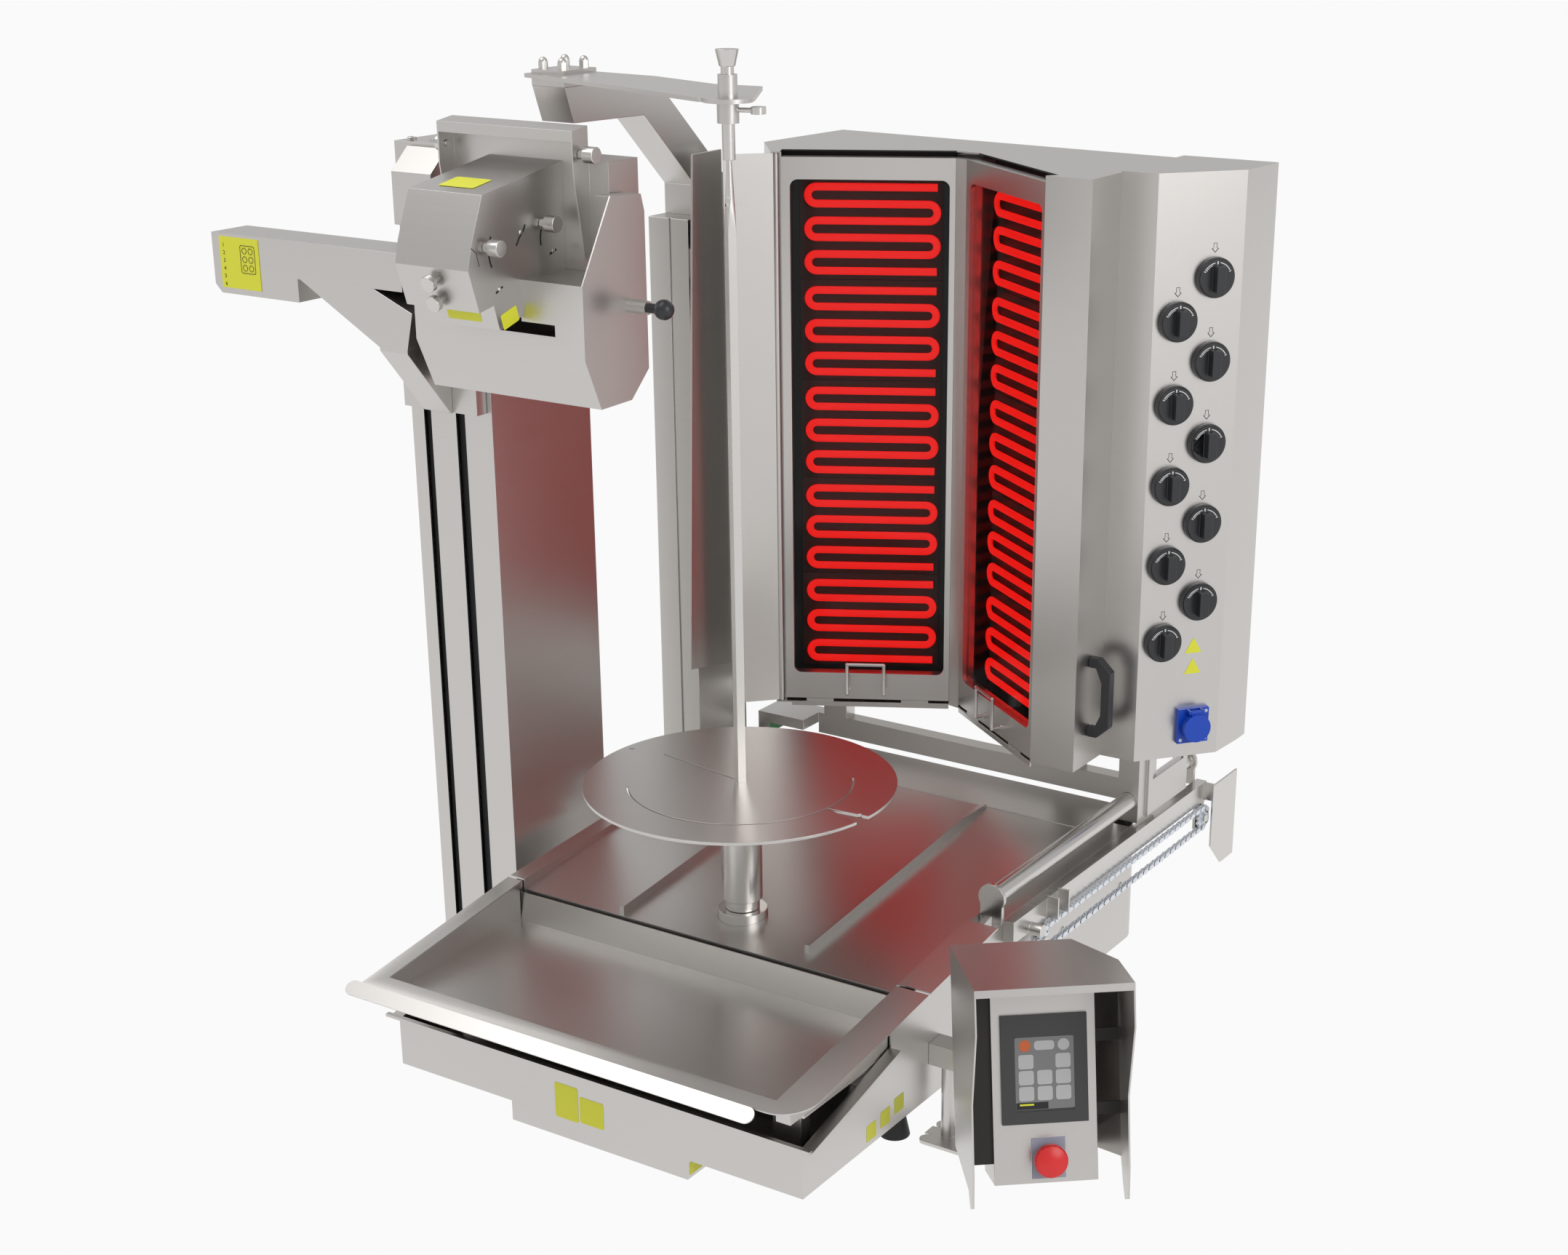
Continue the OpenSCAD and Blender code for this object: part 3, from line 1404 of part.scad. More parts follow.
module drive_chain() color("silver") place() {
    r = chain_plate_h / 2;
    for (x = [chain_x - chain_gap / 2 - chain_plate_t, chain_x + chain_gap / 2]) slab_x(x, chain_plate_t)
        difference() {
            chain_run(chain_r + r);
            chain_run(chain_r - r);
        }
    for (i = [3 : floor(links / 2) - 2], side = [-1, 1])
        rod_x([chain_x - chain_gap / 2 - overrun / 2, chain_front + i * pitch, chain_z + side * chain_r],
            roller_d, chain_gap + overrun);
}

module sprocket(y) color("silver") place() difference() {
    union() {
        slab_x(chain_x - tooth_w / 2, tooth_w) difference() {
            translate([y, chain_z]) circle(chain_r + roller_d * tooth_share);
            for (i = [0 : teeth - 1]) translate([y, chain_z]) rotate(i * 360 / teeth)
                translate([chain_r, 0])
                circle(d = roller_d + fit);
        }
        rod_x([chain_x - axle_out + overrun, y, chain_z], hub_d, 2 * axle_out - overrun - fit);
    }
    rod_x([chain_x - 2 * axle_out, y, chain_z], axle_d + 2 * running_fit, 4 * axle_out);
}
module sprocket_front() sprocket(chain_front);
module sprocket_rear() sprocket(chain_back);

// Frame of the touch panel's face: x across, y up, z outwards
module on_station() place() translate([panel_x, panel_y, panel_z]) rotate([0, 0, panel_turn])
    rotate([90 - panel_lean, 0, 0]) children();

// Outline across the station's depth and height, thickened sideways
module slab_u(u, thick) translate([u + thick, 0, 0]) rotate([0, -90, 0]) linear_extrude(thick) children();

module hmi_bracket() color("silver") {
    on_station() block([-tube_d / 2, -tube_up - tube_d / 2, -panel_deep - tube_len],
        [tube_d / 2, tube_d / 2 - tube_up, -panel_deep]);
    place() {
        block([side_x, mast_y - tube_d / 2, tube_low], [side_x + tube_reach, mast_y + tube_d / 2,
            tube_low + tube_d]);
        rod_z([mast_x, mast_y, foot_plate_t], mast_d, tube_low - foot_plate_t);
        slab_z(0, foot_plate_t) {
            translate([mast_x + foot_plate_off, mast_y])
                square([foot_plate_w, foot_plate_d - foot_plate_w / 2], center = true);
            translate([mast_x + foot_plate_off, mast_y]) square([foot_plate_w - mast_d, foot_plate_d],
                center = true);
            for (x = [-1, 1], y = [-1, 1]) translate([mast_x + foot_plate_off + x * (foot_plate_w - mast_d) / 2,
                mast_y + y * (foot_plate_d - mast_d) / 2]) circle(d = mast_d);
        }
    }
}

module hmi_box() color("silver") on_station() difference() {
    low = panel_up - panel_h;
    union() {
        difference() {
            block([-panel_w / 2, low, -panel_deep], [panel_w / 2, panel_up, 0]);
            block([column_t - panel_w / 2, low + column_t, column_t - panel_deep],
                [panel_w / 2 - column_t, panel_up - column_t, -column_t]);
        }
        block([stop_x - stop_plate_w / 2, -stop_down - stop_plate_h / 2, 0],
            [stop_x + stop_plate_w / 2, stop_plate_h / 2 - stop_down, thin / 2]);
        translate([stop_x, -stop_down, 0]) cylinder(d = stop_collar_d, h = stop_collar_h);
    }
    translate([stop_x, -stop_down, -panel_deep / 2]) cylinder(d = stem_d + 2 * running_fit, h = panel_deep);
}

module stop_button() color("red") on_station() translate([stop_x, -stop_down, 0]) {
    under = stop_collar_h + stop_travel + fit;
    translate([0, 0, -2 * stop_travel]) cylinder(d = stem_d, h = under + 2 * stop_travel);
    translate([0, 0, under]) intersection() {
        cylinder(d = stop_d, h = stop_head_h);
        translate([0, 0, stop_head_h - stop_d]) sphere(r = stop_d);
    }
}

module hmi_bezel() color("black") on_station() difference() {
    block([-bezel_w / 2, -bezel_h / 2, 0], [bezel_w / 2, bezel_h / 2, bezel_t]);
    block([-screen_w / 2, -screen_h / 2 - screen_off, bezel_t - screen_t],
        [screen_w / 2, screen_h / 2 - screen_off, bezel_t + overrun]);
}

module hmi_hood() color("silver") on_station() {
    half = hood_w / 2;
    roof = [[-hood_back, hood_back_top], [hood_front, hood_top]];
    mid_top = hood_back_top - (hood_back_top - hood_top) * hood_mid_share;
    intersection() {
        slab_u(-half, hood_w) bent([[hood_front, hood_top - hood_lip], roof[1], roof[0]], hood_t);
        translate([0, 2 * hood_back_top, 0]) rotate([90, 0, 0]) linear_extrude(2 * hood_back_top)
            polygon([[-half, -hood_back],
            [half - hood_chamfer, -hood_back], [half, -hood_edge], [half, hood_front],
                [-half, hood_front]]);
    }
    intersection() {
        translate([0, hood_back_top, 0]) rotate([90, 0, 0]) linear_extrude(2 * hood_back_top)
            bent([[half - hood_chamfer, -hood_back], [half, -hood_edge]], hood_t);
        slab_u(0, half) polygon([[-hood_back, -hood_back_low], [0, -hood_back_low], [0, mid_top], roof[0]]);
    }
    slab_u(-half, hood_t) polygon(concat([roof[0]], wing_points, [[-hood_back, -hood_back_low]]));
    slab_u(half - hood_t, hood_t) polygon(concat([[-hood_edge, mid_top]], wing_points,
        [[-hood_edge, -hood_back_low]]));
    slab_u(-half, hood_tab_w) polygon([[-hood_back, -hood_back_low], [hood_t - hood_back, -hood_back_low],
        [hood_t - hood_back, hood_back_top - hood_t], [-hood_back, hood_back_top - hood_t]]);
    for (y = [panel_up - 2 * tube_d, -hood_tie_low])
        block([panel_w / 2, y, -hood_edge], [half - hood_t, y + tube_d / 2, thin - hood_edge]);
    block([hood_t - half, -hood_back_low, -hood_edge], [-panel_w / 2, panel_up, thin - hood_edge]);
}

casing();
base_frame();
rear_tray();
spit_collar();
feet();
slide_rail();
drive_chain();
lift_column();
rear_column();
gooseneck();
arm_plate();
hmi_bracket();
hmi_hood();
hmi_box();
hmi_bezel();
side_handle();
stop_button();
front_tray();
sprocket_front();
sprocket_rear();
lift_pin();
wing_screw();
spit_post();
spit_disc();
spit_bar();
carriage();
console_arm();
key_plate();
head_housing();
trough();
back_shield();
blade();
button_upper();
button_lower();
side_knob_front();
side_knob_rear();
shield_knob_left();
shield_knob_right();
plunger();
heater_shell();
heater_beam();
left_wing();
door_left();
glass_left();
door_right();
glass_right();
elements();
control_box();
socket_base();
socket_lid();
knob_1();
knob_2();
knob_3();
knob_4();
knob_5();
knob_6();
knob_7();
knob_8();
knob_9();
knob_10();
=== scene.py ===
import json
from math import atan2, cos, pi, radians, sin

import bmesh
import bpy
from mathutils import Matrix, Vector

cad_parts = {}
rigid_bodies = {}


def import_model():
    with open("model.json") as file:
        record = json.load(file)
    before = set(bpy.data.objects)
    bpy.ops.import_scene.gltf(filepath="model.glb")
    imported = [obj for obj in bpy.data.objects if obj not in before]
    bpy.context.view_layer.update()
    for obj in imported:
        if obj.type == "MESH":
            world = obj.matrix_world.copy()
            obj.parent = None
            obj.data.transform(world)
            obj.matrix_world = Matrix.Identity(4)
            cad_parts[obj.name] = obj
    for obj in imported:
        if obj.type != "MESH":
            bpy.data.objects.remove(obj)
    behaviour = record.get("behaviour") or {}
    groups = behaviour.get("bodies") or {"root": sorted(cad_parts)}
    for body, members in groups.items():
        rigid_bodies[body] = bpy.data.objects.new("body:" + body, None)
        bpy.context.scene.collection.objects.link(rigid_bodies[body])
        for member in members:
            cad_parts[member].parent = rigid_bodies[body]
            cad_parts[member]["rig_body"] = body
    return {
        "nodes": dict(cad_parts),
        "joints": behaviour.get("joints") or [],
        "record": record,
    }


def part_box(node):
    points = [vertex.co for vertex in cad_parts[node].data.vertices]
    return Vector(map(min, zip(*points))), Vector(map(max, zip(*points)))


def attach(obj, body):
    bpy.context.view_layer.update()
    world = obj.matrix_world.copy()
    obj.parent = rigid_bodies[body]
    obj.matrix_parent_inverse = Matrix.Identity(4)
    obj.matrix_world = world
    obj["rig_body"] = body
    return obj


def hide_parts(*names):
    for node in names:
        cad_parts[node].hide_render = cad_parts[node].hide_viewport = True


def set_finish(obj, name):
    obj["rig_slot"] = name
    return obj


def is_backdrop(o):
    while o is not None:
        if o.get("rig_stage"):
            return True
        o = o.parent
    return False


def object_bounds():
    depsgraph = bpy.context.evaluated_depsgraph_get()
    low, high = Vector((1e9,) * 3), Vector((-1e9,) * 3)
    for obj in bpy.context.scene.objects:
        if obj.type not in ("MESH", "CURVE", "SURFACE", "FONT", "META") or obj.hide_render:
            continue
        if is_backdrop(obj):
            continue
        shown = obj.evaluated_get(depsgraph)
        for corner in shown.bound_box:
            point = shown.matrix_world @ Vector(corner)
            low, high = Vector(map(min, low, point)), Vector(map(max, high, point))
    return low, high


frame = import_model()
cad_low, cad_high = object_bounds()
scene = bpy.context.scene
scene.view_settings.view_transform = "Standard"

# Camera: stands to the front right of the machine and looks a little down on it.
# Its place is given in millimetres from the casing's front, across from the spit's line and up from the floor.
mm = 0.001
joint_at = {j["name"]: Vector(j["pos_m"]) for j in frame["joints"] if "pos_m" in j}
hem = 4
spit_x = joint_at["spit_spin"].x
front_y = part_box("casing")[0].y + hem * mm


def place(x, y, z):
    """Point from its distances to the spit's line, the casing's front and the floor, in millimetres"""
    return Vector((spit_x + x * mm, front_y + y * mm, z * mm))


photo_width, photo_height = 2156, 1725
focal_pixels = 3313.8
centre_pixels = (1178.5, 1021.8)
sensor = 36.0
view_turn = radians(32.37)
view_tilt = radians(20.72)
camera = bpy.data.objects.new("camera", bpy.data.cameras.new("camera"))
scene.collection.objects.link(camera)
camera.data.sensor_width = sensor
camera.data.lens = focal_pixels / photo_width * sensor
camera.data.shift_x = (photo_width / 2 - centre_pixels[0]) / photo_width
camera.data.shift_y = (centre_pixels[1] - photo_height / 2) / photo_width
camera.location = place(1666.4, -2022.0, 1545.9)
camera.rotation_euler = (pi / 2 - view_tilt, 0, view_turn)
camera.data.clip_end = 50
scene.camera = camera

# Studio: a plain pale floor under a white sky, with one wide soft lamp high on the left and a fill on the right.
# The camera sees floor and sky in one even white, and the polished sheets see the floor in it too.


def maths(tree, kind, a, b):
    """Result of a maths node on two sockets or numbers"""
    node = tree.nodes.new("ShaderNodeMath")
    node.operation = kind
    for put_in, value in zip(node.inputs, (a, b)):
        if isinstance(value, (int, float)):
            put_in.default_value = value
        else:
            tree.links.new(value, put_in)
    return node.outputs[0]


pale = (0.955, 0.955, 0.955, 1)
floor_mesh = bpy.data.meshes.new("floor")
floor_half = 12
floor_mesh.from_pydata([(-floor_half, -floor_half, 0), (floor_half, -floor_half, 0),
                        (floor_half, floor_half, 0), (-floor_half, floor_half, 0)], [], [(0, 1, 2, 3)])
floor = bpy.data.objects.new("floor", floor_mesh)
floor_drop = 0.3
floor.location.z = -floor_drop * mm
scene.collection.objects.link(floor)
floor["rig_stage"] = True
floor_paint = bpy.data.materials.new("pale_floor")
floor_paint.use_nodes = True
nodes, links = floor_paint.node_tree.nodes, floor_paint.node_tree.links
nodes.clear()
output = nodes.new("ShaderNodeOutputMaterial")
mix = nodes.new("ShaderNodeMixShader")
cast = nodes.new("ShaderNodeBsdfDiffuse")
cast.inputs["Color"].default_value = (0.8, 0.8, 0.8, 1)
glow = nodes.new("ShaderNodeEmission")
glow.inputs["Color"].default_value = pale
seen = nodes.new("ShaderNodeLightPath")
either = maths(floor_paint.node_tree, "MAXIMUM", seen.outputs["Is Camera Ray"], seen.outputs["Is Glossy Ray"])
links.new(either, mix.inputs["Fac"])
links.new(cast.outputs[0], mix.inputs[1])
links.new(glow.outputs[0], mix.inputs[2])
links.new(mix.outputs[0], output.inputs["Surface"])
floor_mesh.materials.append(floor_paint)

sky = bpy.data.worlds.new("studio")
scene.world = sky
sky.use_nodes = True
nodes, links = sky.node_tree.nodes, sky.node_tree.links
nodes.clear()
output = nodes.new("ShaderNodeOutputWorld")
plain = nodes.new("ShaderNodeBackground")
plain.inputs["Color"].default_value = (1, 1, 1, 1)
sky_strength = 0.62
plain.inputs["Strength"].default_value = sky_strength
backdrop = nodes.new("ShaderNodeBackground")
backdrop.inputs["Color"].default_value = pale
seen = nodes.new("ShaderNodeLightPath")
pick = nodes.new("ShaderNodeMixShader")
links.new(seen.outputs["Is Camera Ray"], pick.inputs["Fac"])
links.new(plain.outputs[0], pick.inputs[1])
links.new(backdrop.outputs[0], pick.inputs[2])
links.new(pick.outputs[0], output.inputs["Surface"])


def lamp(name, at, target, size, power):
    """Round soft lamp that looks at a point, with its size in metres and its power in watts"""
    light = bpy.data.lights.new(name, "AREA")
    light.shape = "DISK"
    light.size = size
    light.energy = power
    thing = bpy.data.objects.new(name, light)
    thing.location = at
    thing.rotation_euler = (Vector(target) - Vector(at)).to_track_quat("-Z", "Y").to_euler()
    scene.collection.objects.link(thing)


middle = (cad_low + cad_high) / 2
lamp("key", middle + Vector((-1.4, -1.2, 3.4)), middle, 3.0, 55)
lamp("fill", middle + Vector((3.4, -1.0, 1.4)), middle, 2.4, 42)

# Finish of the machine: brushed stainless sheet, with fine streaks along each face and slow cloudy changes.
# The streaks run across on upright faces, and the same grain serves the turned and the plated pieces.


thin_share, upright_share = 0.012, 0.6
cloud_scale = 5.0


def grain_group():
    """Shader group that gives a colour and a roughness their streaks and clouds, and the height of the streaks"""
    group = bpy.data.node_groups.new("sheet_grain", "ShaderNodeTree")
    group.interface.new_socket("Colour", in_out="INPUT", socket_type="NodeSocketColor")
    for name, value in (("Roughness", 0.3), ("Pitch", 520.0), ("Streak", 0.05), ("Cloud", 0.04)):
        group.interface.new_socket(name, in_out="INPUT", socket_type="NodeSocketFloat").default_value = value
    group.interface.new_socket("Colour", in_out="OUTPUT", socket_type="NodeSocketColor")
    group.interface.new_socket("Roughness", in_out="OUTPUT", socket_type="NodeSocketFloat")
    group.interface.new_socket("Height", in_out="OUTPUT", socket_type="NodeSocketFloat")
    n, link = group.nodes, group.links.new
    given, result = n.new("NodeGroupInput"), n.new("NodeGroupOutput")
    coordinates, facing = n.new("ShaderNodeTexCoord"), n.new("ShaderNodeNewGeometry")
    streaks = []
    for along in ((thin_share, 1, 1), (1, thin_share, 1)):
        stretch = n.new("ShaderNodeVectorMath")
        stretch.operation = "MULTIPLY"
        stretch.inputs[1].default_value = along
        noise = n.new("ShaderNodeTexNoise")
        noise.inputs["Detail"].default_value = 2.0
        link(coordinates.outputs["Object"], stretch.inputs[0])
        link(stretch.outputs[0], noise.inputs["Vector"])
        link(given.outputs["Pitch"], noise.inputs["Scale"])
        streaks.append(noise)
    parts = n.new("ShaderNodeSeparateXYZ")
    link(facing.outputs["True Normal"], parts.inputs[0])
    side = maths(group, "GREATER_THAN", maths(group, "ABSOLUTE", parts.outputs["X"], 0), upright_share)
    streak = n.new("ShaderNodeMix")
    streak.data_type = "FLOAT"
    link(side, streak.inputs["Factor"])
    link(streaks[0].outputs["Fac"], streak.inputs["A"])
    link(streaks[1].outputs["Fac"], streak.inputs["B"])
    cloud = n.new("ShaderNodeTexNoise")
    cloud.inputs["Scale"].default_value = cloud_scale
    cloud.inputs["Detail"].default_value = 3.0
    link(coordinates.outputs["Object"], cloud.inputs["Vector"])

    def swing(source, amount):
        """Noise about its middle, times an amount"""
        return maths(group, "MULTIPLY", maths(group, "SUBTRACT", source, 0.5), given.outputs[amount])

    both = maths(group, "ADD", swing(streak.outputs["Result"], "Streak"), swing(cloud.outputs["Fac"], "Cloud"))
    bright = n.new("ShaderNodeHueSaturation")
    link(maths(group, "ADD", both, 1.0), bright.inputs["Value"])
    link(given.outputs["Colour"], bright.inputs["Color"])
    link(bright.outputs["Color"], result.inputs["Colour"])
    link(maths(group, "ADD", given.outputs["Roughness"], both), result.inputs["Roughness"])
    link(streak.outputs["Result"], result.inputs["Height"])
    return group


sheet_grain = grain_group()
relief_depth = 0.2


def finish(name, colour, roughness, metallic=0.0, pitch=520.0, streak=0.05, cloud=0.04, bump=0.04, **sockets):
    """Material with the machine's grain, whose own sockets hold what is the same all over"""
    material = bpy.data.materials.new(name)
    material.use_nodes = True
    tree = material.node_tree
    shader = tree.nodes["Principled BSDF"]
    shader.inputs["Metallic"].default_value = metallic
    for socket, value in sockets.items():
        shader.inputs[socket.replace("_", " ")].default_value = value
    grain = tree.nodes.new("ShaderNodeGroup")
    grain.node_tree = sheet_grain
    grain.inputs["Colour"].default_value = (*colour, 1)
    for socket, value in (("Roughness", roughness), ("Pitch", pitch), ("Streak", streak), ("Cloud", cloud)):
        grain.inputs[socket].default_value = value
    relief = tree.nodes.new("ShaderNodeBump")
    relief.inputs["Strength"].default_value = bump
    relief.inputs["Distance"].default_value = relief_depth * mm
    tree.links.new(grain.outputs["Colour"], shader.inputs["Base Color"])
    tree.links.new(grain.outputs["Roughness"], shader.inputs["Roughness"])
    tree.links.new(grain.outputs["Height"], relief.inputs["Height"])
    tree.links.new(relief.outputs["Normal"], shader.inputs["Normal"])
    material.diffuse_color = (*colour, 1)
    return material


sheet_steel = finish("brushed_sheet", (0.61, 0.59, 0.57), 0.34, metallic=1.0)
turned_steel = finish("turned_steel", (0.64, 0.62, 0.60), 0.26, metallic=1.0, pitch=900.0, streak=0.06)
# Near-black finish: black rubber on the slot strips, and painted shade on the guide slots' walls and on the head's
# slots.
rubber_and_shade = finish("rubber_and_painted_shade", (0.012, 0.012, 0.013), 0.7, pitch=300.0, streak=0.02, cloud=0.02)
sharp_angle, flat_angle = radians(28), radians(0.4)
weld_reach = 0.002


def piece(name, mesh, material, body, slot=None, stands_for=()):
    """Object for a finished mesh, riding on its body"""
    thing = bpy.data.objects.new(name, mesh)
    scene.collection.objects.link(thing)
    if material:
        mesh.materials.append(material)
    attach(thing, body)
    if slot:
        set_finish(thing, slot)
    if stands_for:
        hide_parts(*stands_for)
    return thing


def dress(node, material, edge=0.6, accents=(), segments=2, merge=True):
    """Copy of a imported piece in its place, with its edges rounded and faces that pass a test in another finish"""
    source = frame["nodes"][node]
    shape = bmesh.new()
    shape.from_mesh(source.data)
    bmesh.ops.remove_doubles(shape, verts=shape.verts, dist=weld_reach * mm)
    if merge:
        bmesh.ops.dissolve_limit(shape, angle_limit=flat_angle, verts=shape.verts, edges=shape.edges)
    shape.normal_update()
    mesh = bpy.data.meshes.new(node + "_skin")
    shape.faces.ensure_lookup_table()
    for face in shape.faces:
        face.material_index = 0
        for number, (_, test) in enumerate(accents):
            if test(face.calc_center_median(), face.normal):
                face.material_index = number + 1
    shape.to_mesh(mesh)
    shape.free()
    for layer in [a for a in mesh.attributes if a.name == "custom_normal"]:
        mesh.attributes.remove(layer)
    mesh.materials.append(material)
    for other, _ in accents:
        mesh.materials.append(other)
    mesh.shade_smooth()
    mesh.set_sharp_from_angle(angle=sharp_angle)
    thing = bpy.data.objects.new(node + "_skin", mesh)
    scene.collection.objects.link(thing)
    if edge:
        bevel = thing.modifiers.new("edge", "BEVEL")
        bevel.width = edge * mm
        bevel.segments = segments
        bevel.limit_method = "ANGLE"
        bevel.angle_limit = sharp_angle
        bevel.harden_normals = True
    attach(thing, source["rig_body"])
    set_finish(thing, slot_of[node])
    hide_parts(node)
    return thing


slot_of = {part["node"]: part["material_slot"] for part in frame["record"]["subparts"]}


def face_frame(origin, along, out):
    """Frame on a flat face: x along it, z out of it"""
    z = Vector(out).normalized()
    x = Vector(along).normalized()
    y = z.cross(x)
    turn = Matrix((x, y, z)).transposed().to_4x4()
    return Matrix.Translation(origin) @ turn


def outline_plate(name, points, thick, where, material, body, slot=None, edge=0.15):
    """Thin plate from its outline in a face's frame, in millimetres, with softened edges"""
    shape = bmesh.new()
    base = [shape.verts.new((x * mm, y * mm, 0)) for x, y in points]
    bottom = shape.faces.new(base)
    lifted = bmesh.ops.extrude_face_region(shape, geom=[bottom])
    bmesh.ops.translate(shape, verts=[v for v in lifted["geom"] if isinstance(v, bmesh.types.BMVert)],
                        vec=(0, 0, thick * mm))
    bmesh.ops.recalc_face_normals(shape, faces=shape.faces)
    if edge:
        rim = [e for e in shape.edges if all(v.co.z > thick * mm / 2 for v in e.verts)]
        bmesh.ops.bevel(shape, geom=rim, offset=edge * mm, segments=2, profile=0.5, affect="EDGES")
    shape.transform(where)
    mesh = bpy.data.meshes.new(name)
    shape.to_mesh(mesh)
    shape.free()
    mesh.shade_smooth()
    mesh.set_sharp_from_angle(angle=sharp_angle)
    return piece(name, mesh, material, body, slot)


def rounded(width, height, radius, steps=6):
    """Outline of a rectangle with round corners, centred, in millimetres"""
    points = []
    for quarter, (sx, sy) in enumerate(((1, 1), (-1, 1), (-1, -1), (1, -1))):
        for i in range(steps + 1):
            a = pi / 2 * (quarter + i / steps)
            points.append((sx * (width / 2 - radius) + radius * cos(a),
                           sy * (height / 2 - radius) + radius * sin(a)))
    return points


# Fasteners: domed stainless screw heads and button rivets, pressed or screwed into the sheets.
# One tree sets a head on each point, turned to the face that the point lies on.
# The helpers for trees that stand before it serve the heater's ribbon and the chain too.


def geometry_tree(name, numbers):
    """Geometry tree with inputs for a base, for lengths in millimetres and for a finish"""
    tree = bpy.data.node_groups.new(name, "GeometryNodeTree")
    tree.interface.new_socket("Geometry", in_out="INPUT", socket_type="NodeSocketGeometry")
    for socket, value in numbers.items():
        tree.interface.new_socket(socket, in_out="INPUT", socket_type="NodeSocketFloat").default_value = value * mm
    tree.interface.new_socket("Finish", in_out="INPUT", socket_type="NodeSocketMaterial")
    tree.interface.new_socket("Geometry", in_out="OUTPUT", socket_type="NodeSocketGeometry")
    return tree, tree.nodes.new("NodeGroupInput"), tree.nodes.new("NodeGroupOutput")


def close_tree(tree, given, result, geometry):
    """Ends a tree: what it grew is made real, shaded smooth and put in its finish"""
    for kind in ("RealizeInstances", "SetShadeSmooth", "SetMaterial"):
        step = tree.nodes.new("GeometryNode" + kind)
        tree.links.new(geometry, step.inputs["Geometry"])
        geometry = step.outputs["Geometry"]
    tree.links.new(given.outputs["Finish"], step.inputs["Material"])
    tree.links.new(geometry, result.inputs["Geometry"])
    return tree


def aimed(tree, axis):
    """Rotation that turns an axis to the direction stored on each point"""
    aim = tree.nodes.new("GeometryNodeInputNamedAttribute")
    aim.data_type = "FLOAT_VECTOR"
    aim.inputs["Name"].default_value = "aim"
    turn = tree.nodes.new("FunctionNodeAlignRotationToVector")
    turn.axis = axis
    tree.links.new(aim.outputs["Attribute"], turn.inputs["Vector"])
    return turn.outputs["Rotation"]


def aimed_points(name, spots):
    """Base mesh of points from (point, direction) pairs"""
    base = bpy.data.meshes.new(name)
    base.from_pydata([tuple(point) for point, _ in spots], [], [])
    aim = base.attributes.new("aim", "FLOAT_VECTOR", "POINT")
    aim.data.foreach_set("vector", [c for _, direction in spots for c in Vector(direction)])
    return base


def head_tree():
    """A flattened ball on each point, turned to its direction"""
    tree, given, result = geometry_tree("fastener_heads", {"Radius": 3, "Height": 1.6})
    n, link = tree.nodes, tree.links.new
    ball = n.new("GeometryNodeMeshUVSphere")
    ball.inputs["Segments"].default_value = 20
    ball.inputs["Rings"].default_value = 12
    ball.inputs["Radius"].default_value = 1.0
    flat = n.new("ShaderNodeCombineXYZ")
    shape = n.new("GeometryNodeTransform")
    put = n.new("GeometryNodeInstanceOnPoints")
    for axis, size in (("X", "Radius"), ("Y", "Radius"), ("Z", "Height")):
        link(given.outputs[size], flat.inputs[axis])
    link(ball.outputs["Mesh"], shape.inputs["Geometry"])
    link(flat.outputs[0], shape.inputs["Scale"])
    link(given.outputs["Geometry"], put.inputs["Points"])
    link(shape.outputs["Geometry"], put.inputs["Instance"])
    link(aimed(tree, "Z"), put.inputs["Rotation"])
    return close_tree(tree, given, result, put.outputs["Instances"])


fastener_heads = head_tree()


def grown(name, base, tree, values, body, slot=None, stands_for=()):
    """Plain mesh that a geometry tree makes from a base mesh"""
    seed = bpy.data.objects.new(name + "_seed", base)
    scene.collection.objects.link(seed)
    grow = seed.modifiers.new("grow", "NODES")
    grow.node_group = tree
    for item in tree.interface.items_tree:
        if item.item_type == "SOCKET" and item.in_out == "INPUT" and item.name in values:
            grow[item.identifier] = values[item.name]
    seed.update_tag()
    bpy.context.view_layer.update()
    ready = seed.evaluated_get(bpy.context.evaluated_depsgraph_get())
    mesh = bpy.data.meshes.new_from_object(ready)
    mesh.name = name
    bpy.data.objects.remove(seed)
    return piece(name, mesh, None, body, slot, stands_for)


def heads(name, spots, body, radius=3.2, height=1.6, material=None, slot="machined_steel"):
    """Fastener heads at (point, direction) pairs"""
    base = aimed_points(name + "_points", spots)
    values = {"Radius": radius * mm, "Height": height * mm, "Finish": material or turned_steel}
    return grown(name, base, fastener_heads, values, body, slot)


ahead, right, up = Vector((0, -1, 0)), Vector((1, 0, 0)), Vector((0, 0, 1))

# Base: a folded casing on four rubber feet with a frame of square rails inside it.
# The casing's sheets are bent and spot welded, and plain yellow film blanks are stuck on them.
dress("casing", sheet_steel, edge=0.8)
dress("base_frame", sheet_steel, edge=1.2)
foot_rubber = finish("foot_rubber", (0.018, 0.018, 0.018), 0.55, pitch=200.0, streak=0.04, cloud=0.05)
dress("feet", foot_rubber, edge=1.5, segments=3)
yellow_film = finish("yellow_film", (0.76, 0.76, 0.04), 0.42, pitch=300.0, streak=0.01, cloud=0.02)
film_thick = 0.3


def blank(name, at, along, out, width, height, body, radius=3):
    """Plain film with round corners, in the middle of a place on a face"""
    return outline_plate(name, rounded(width, height, radius), film_thick, face_frame(at, along, out),
                         yellow_film, body, "yellow_label", edge=0)


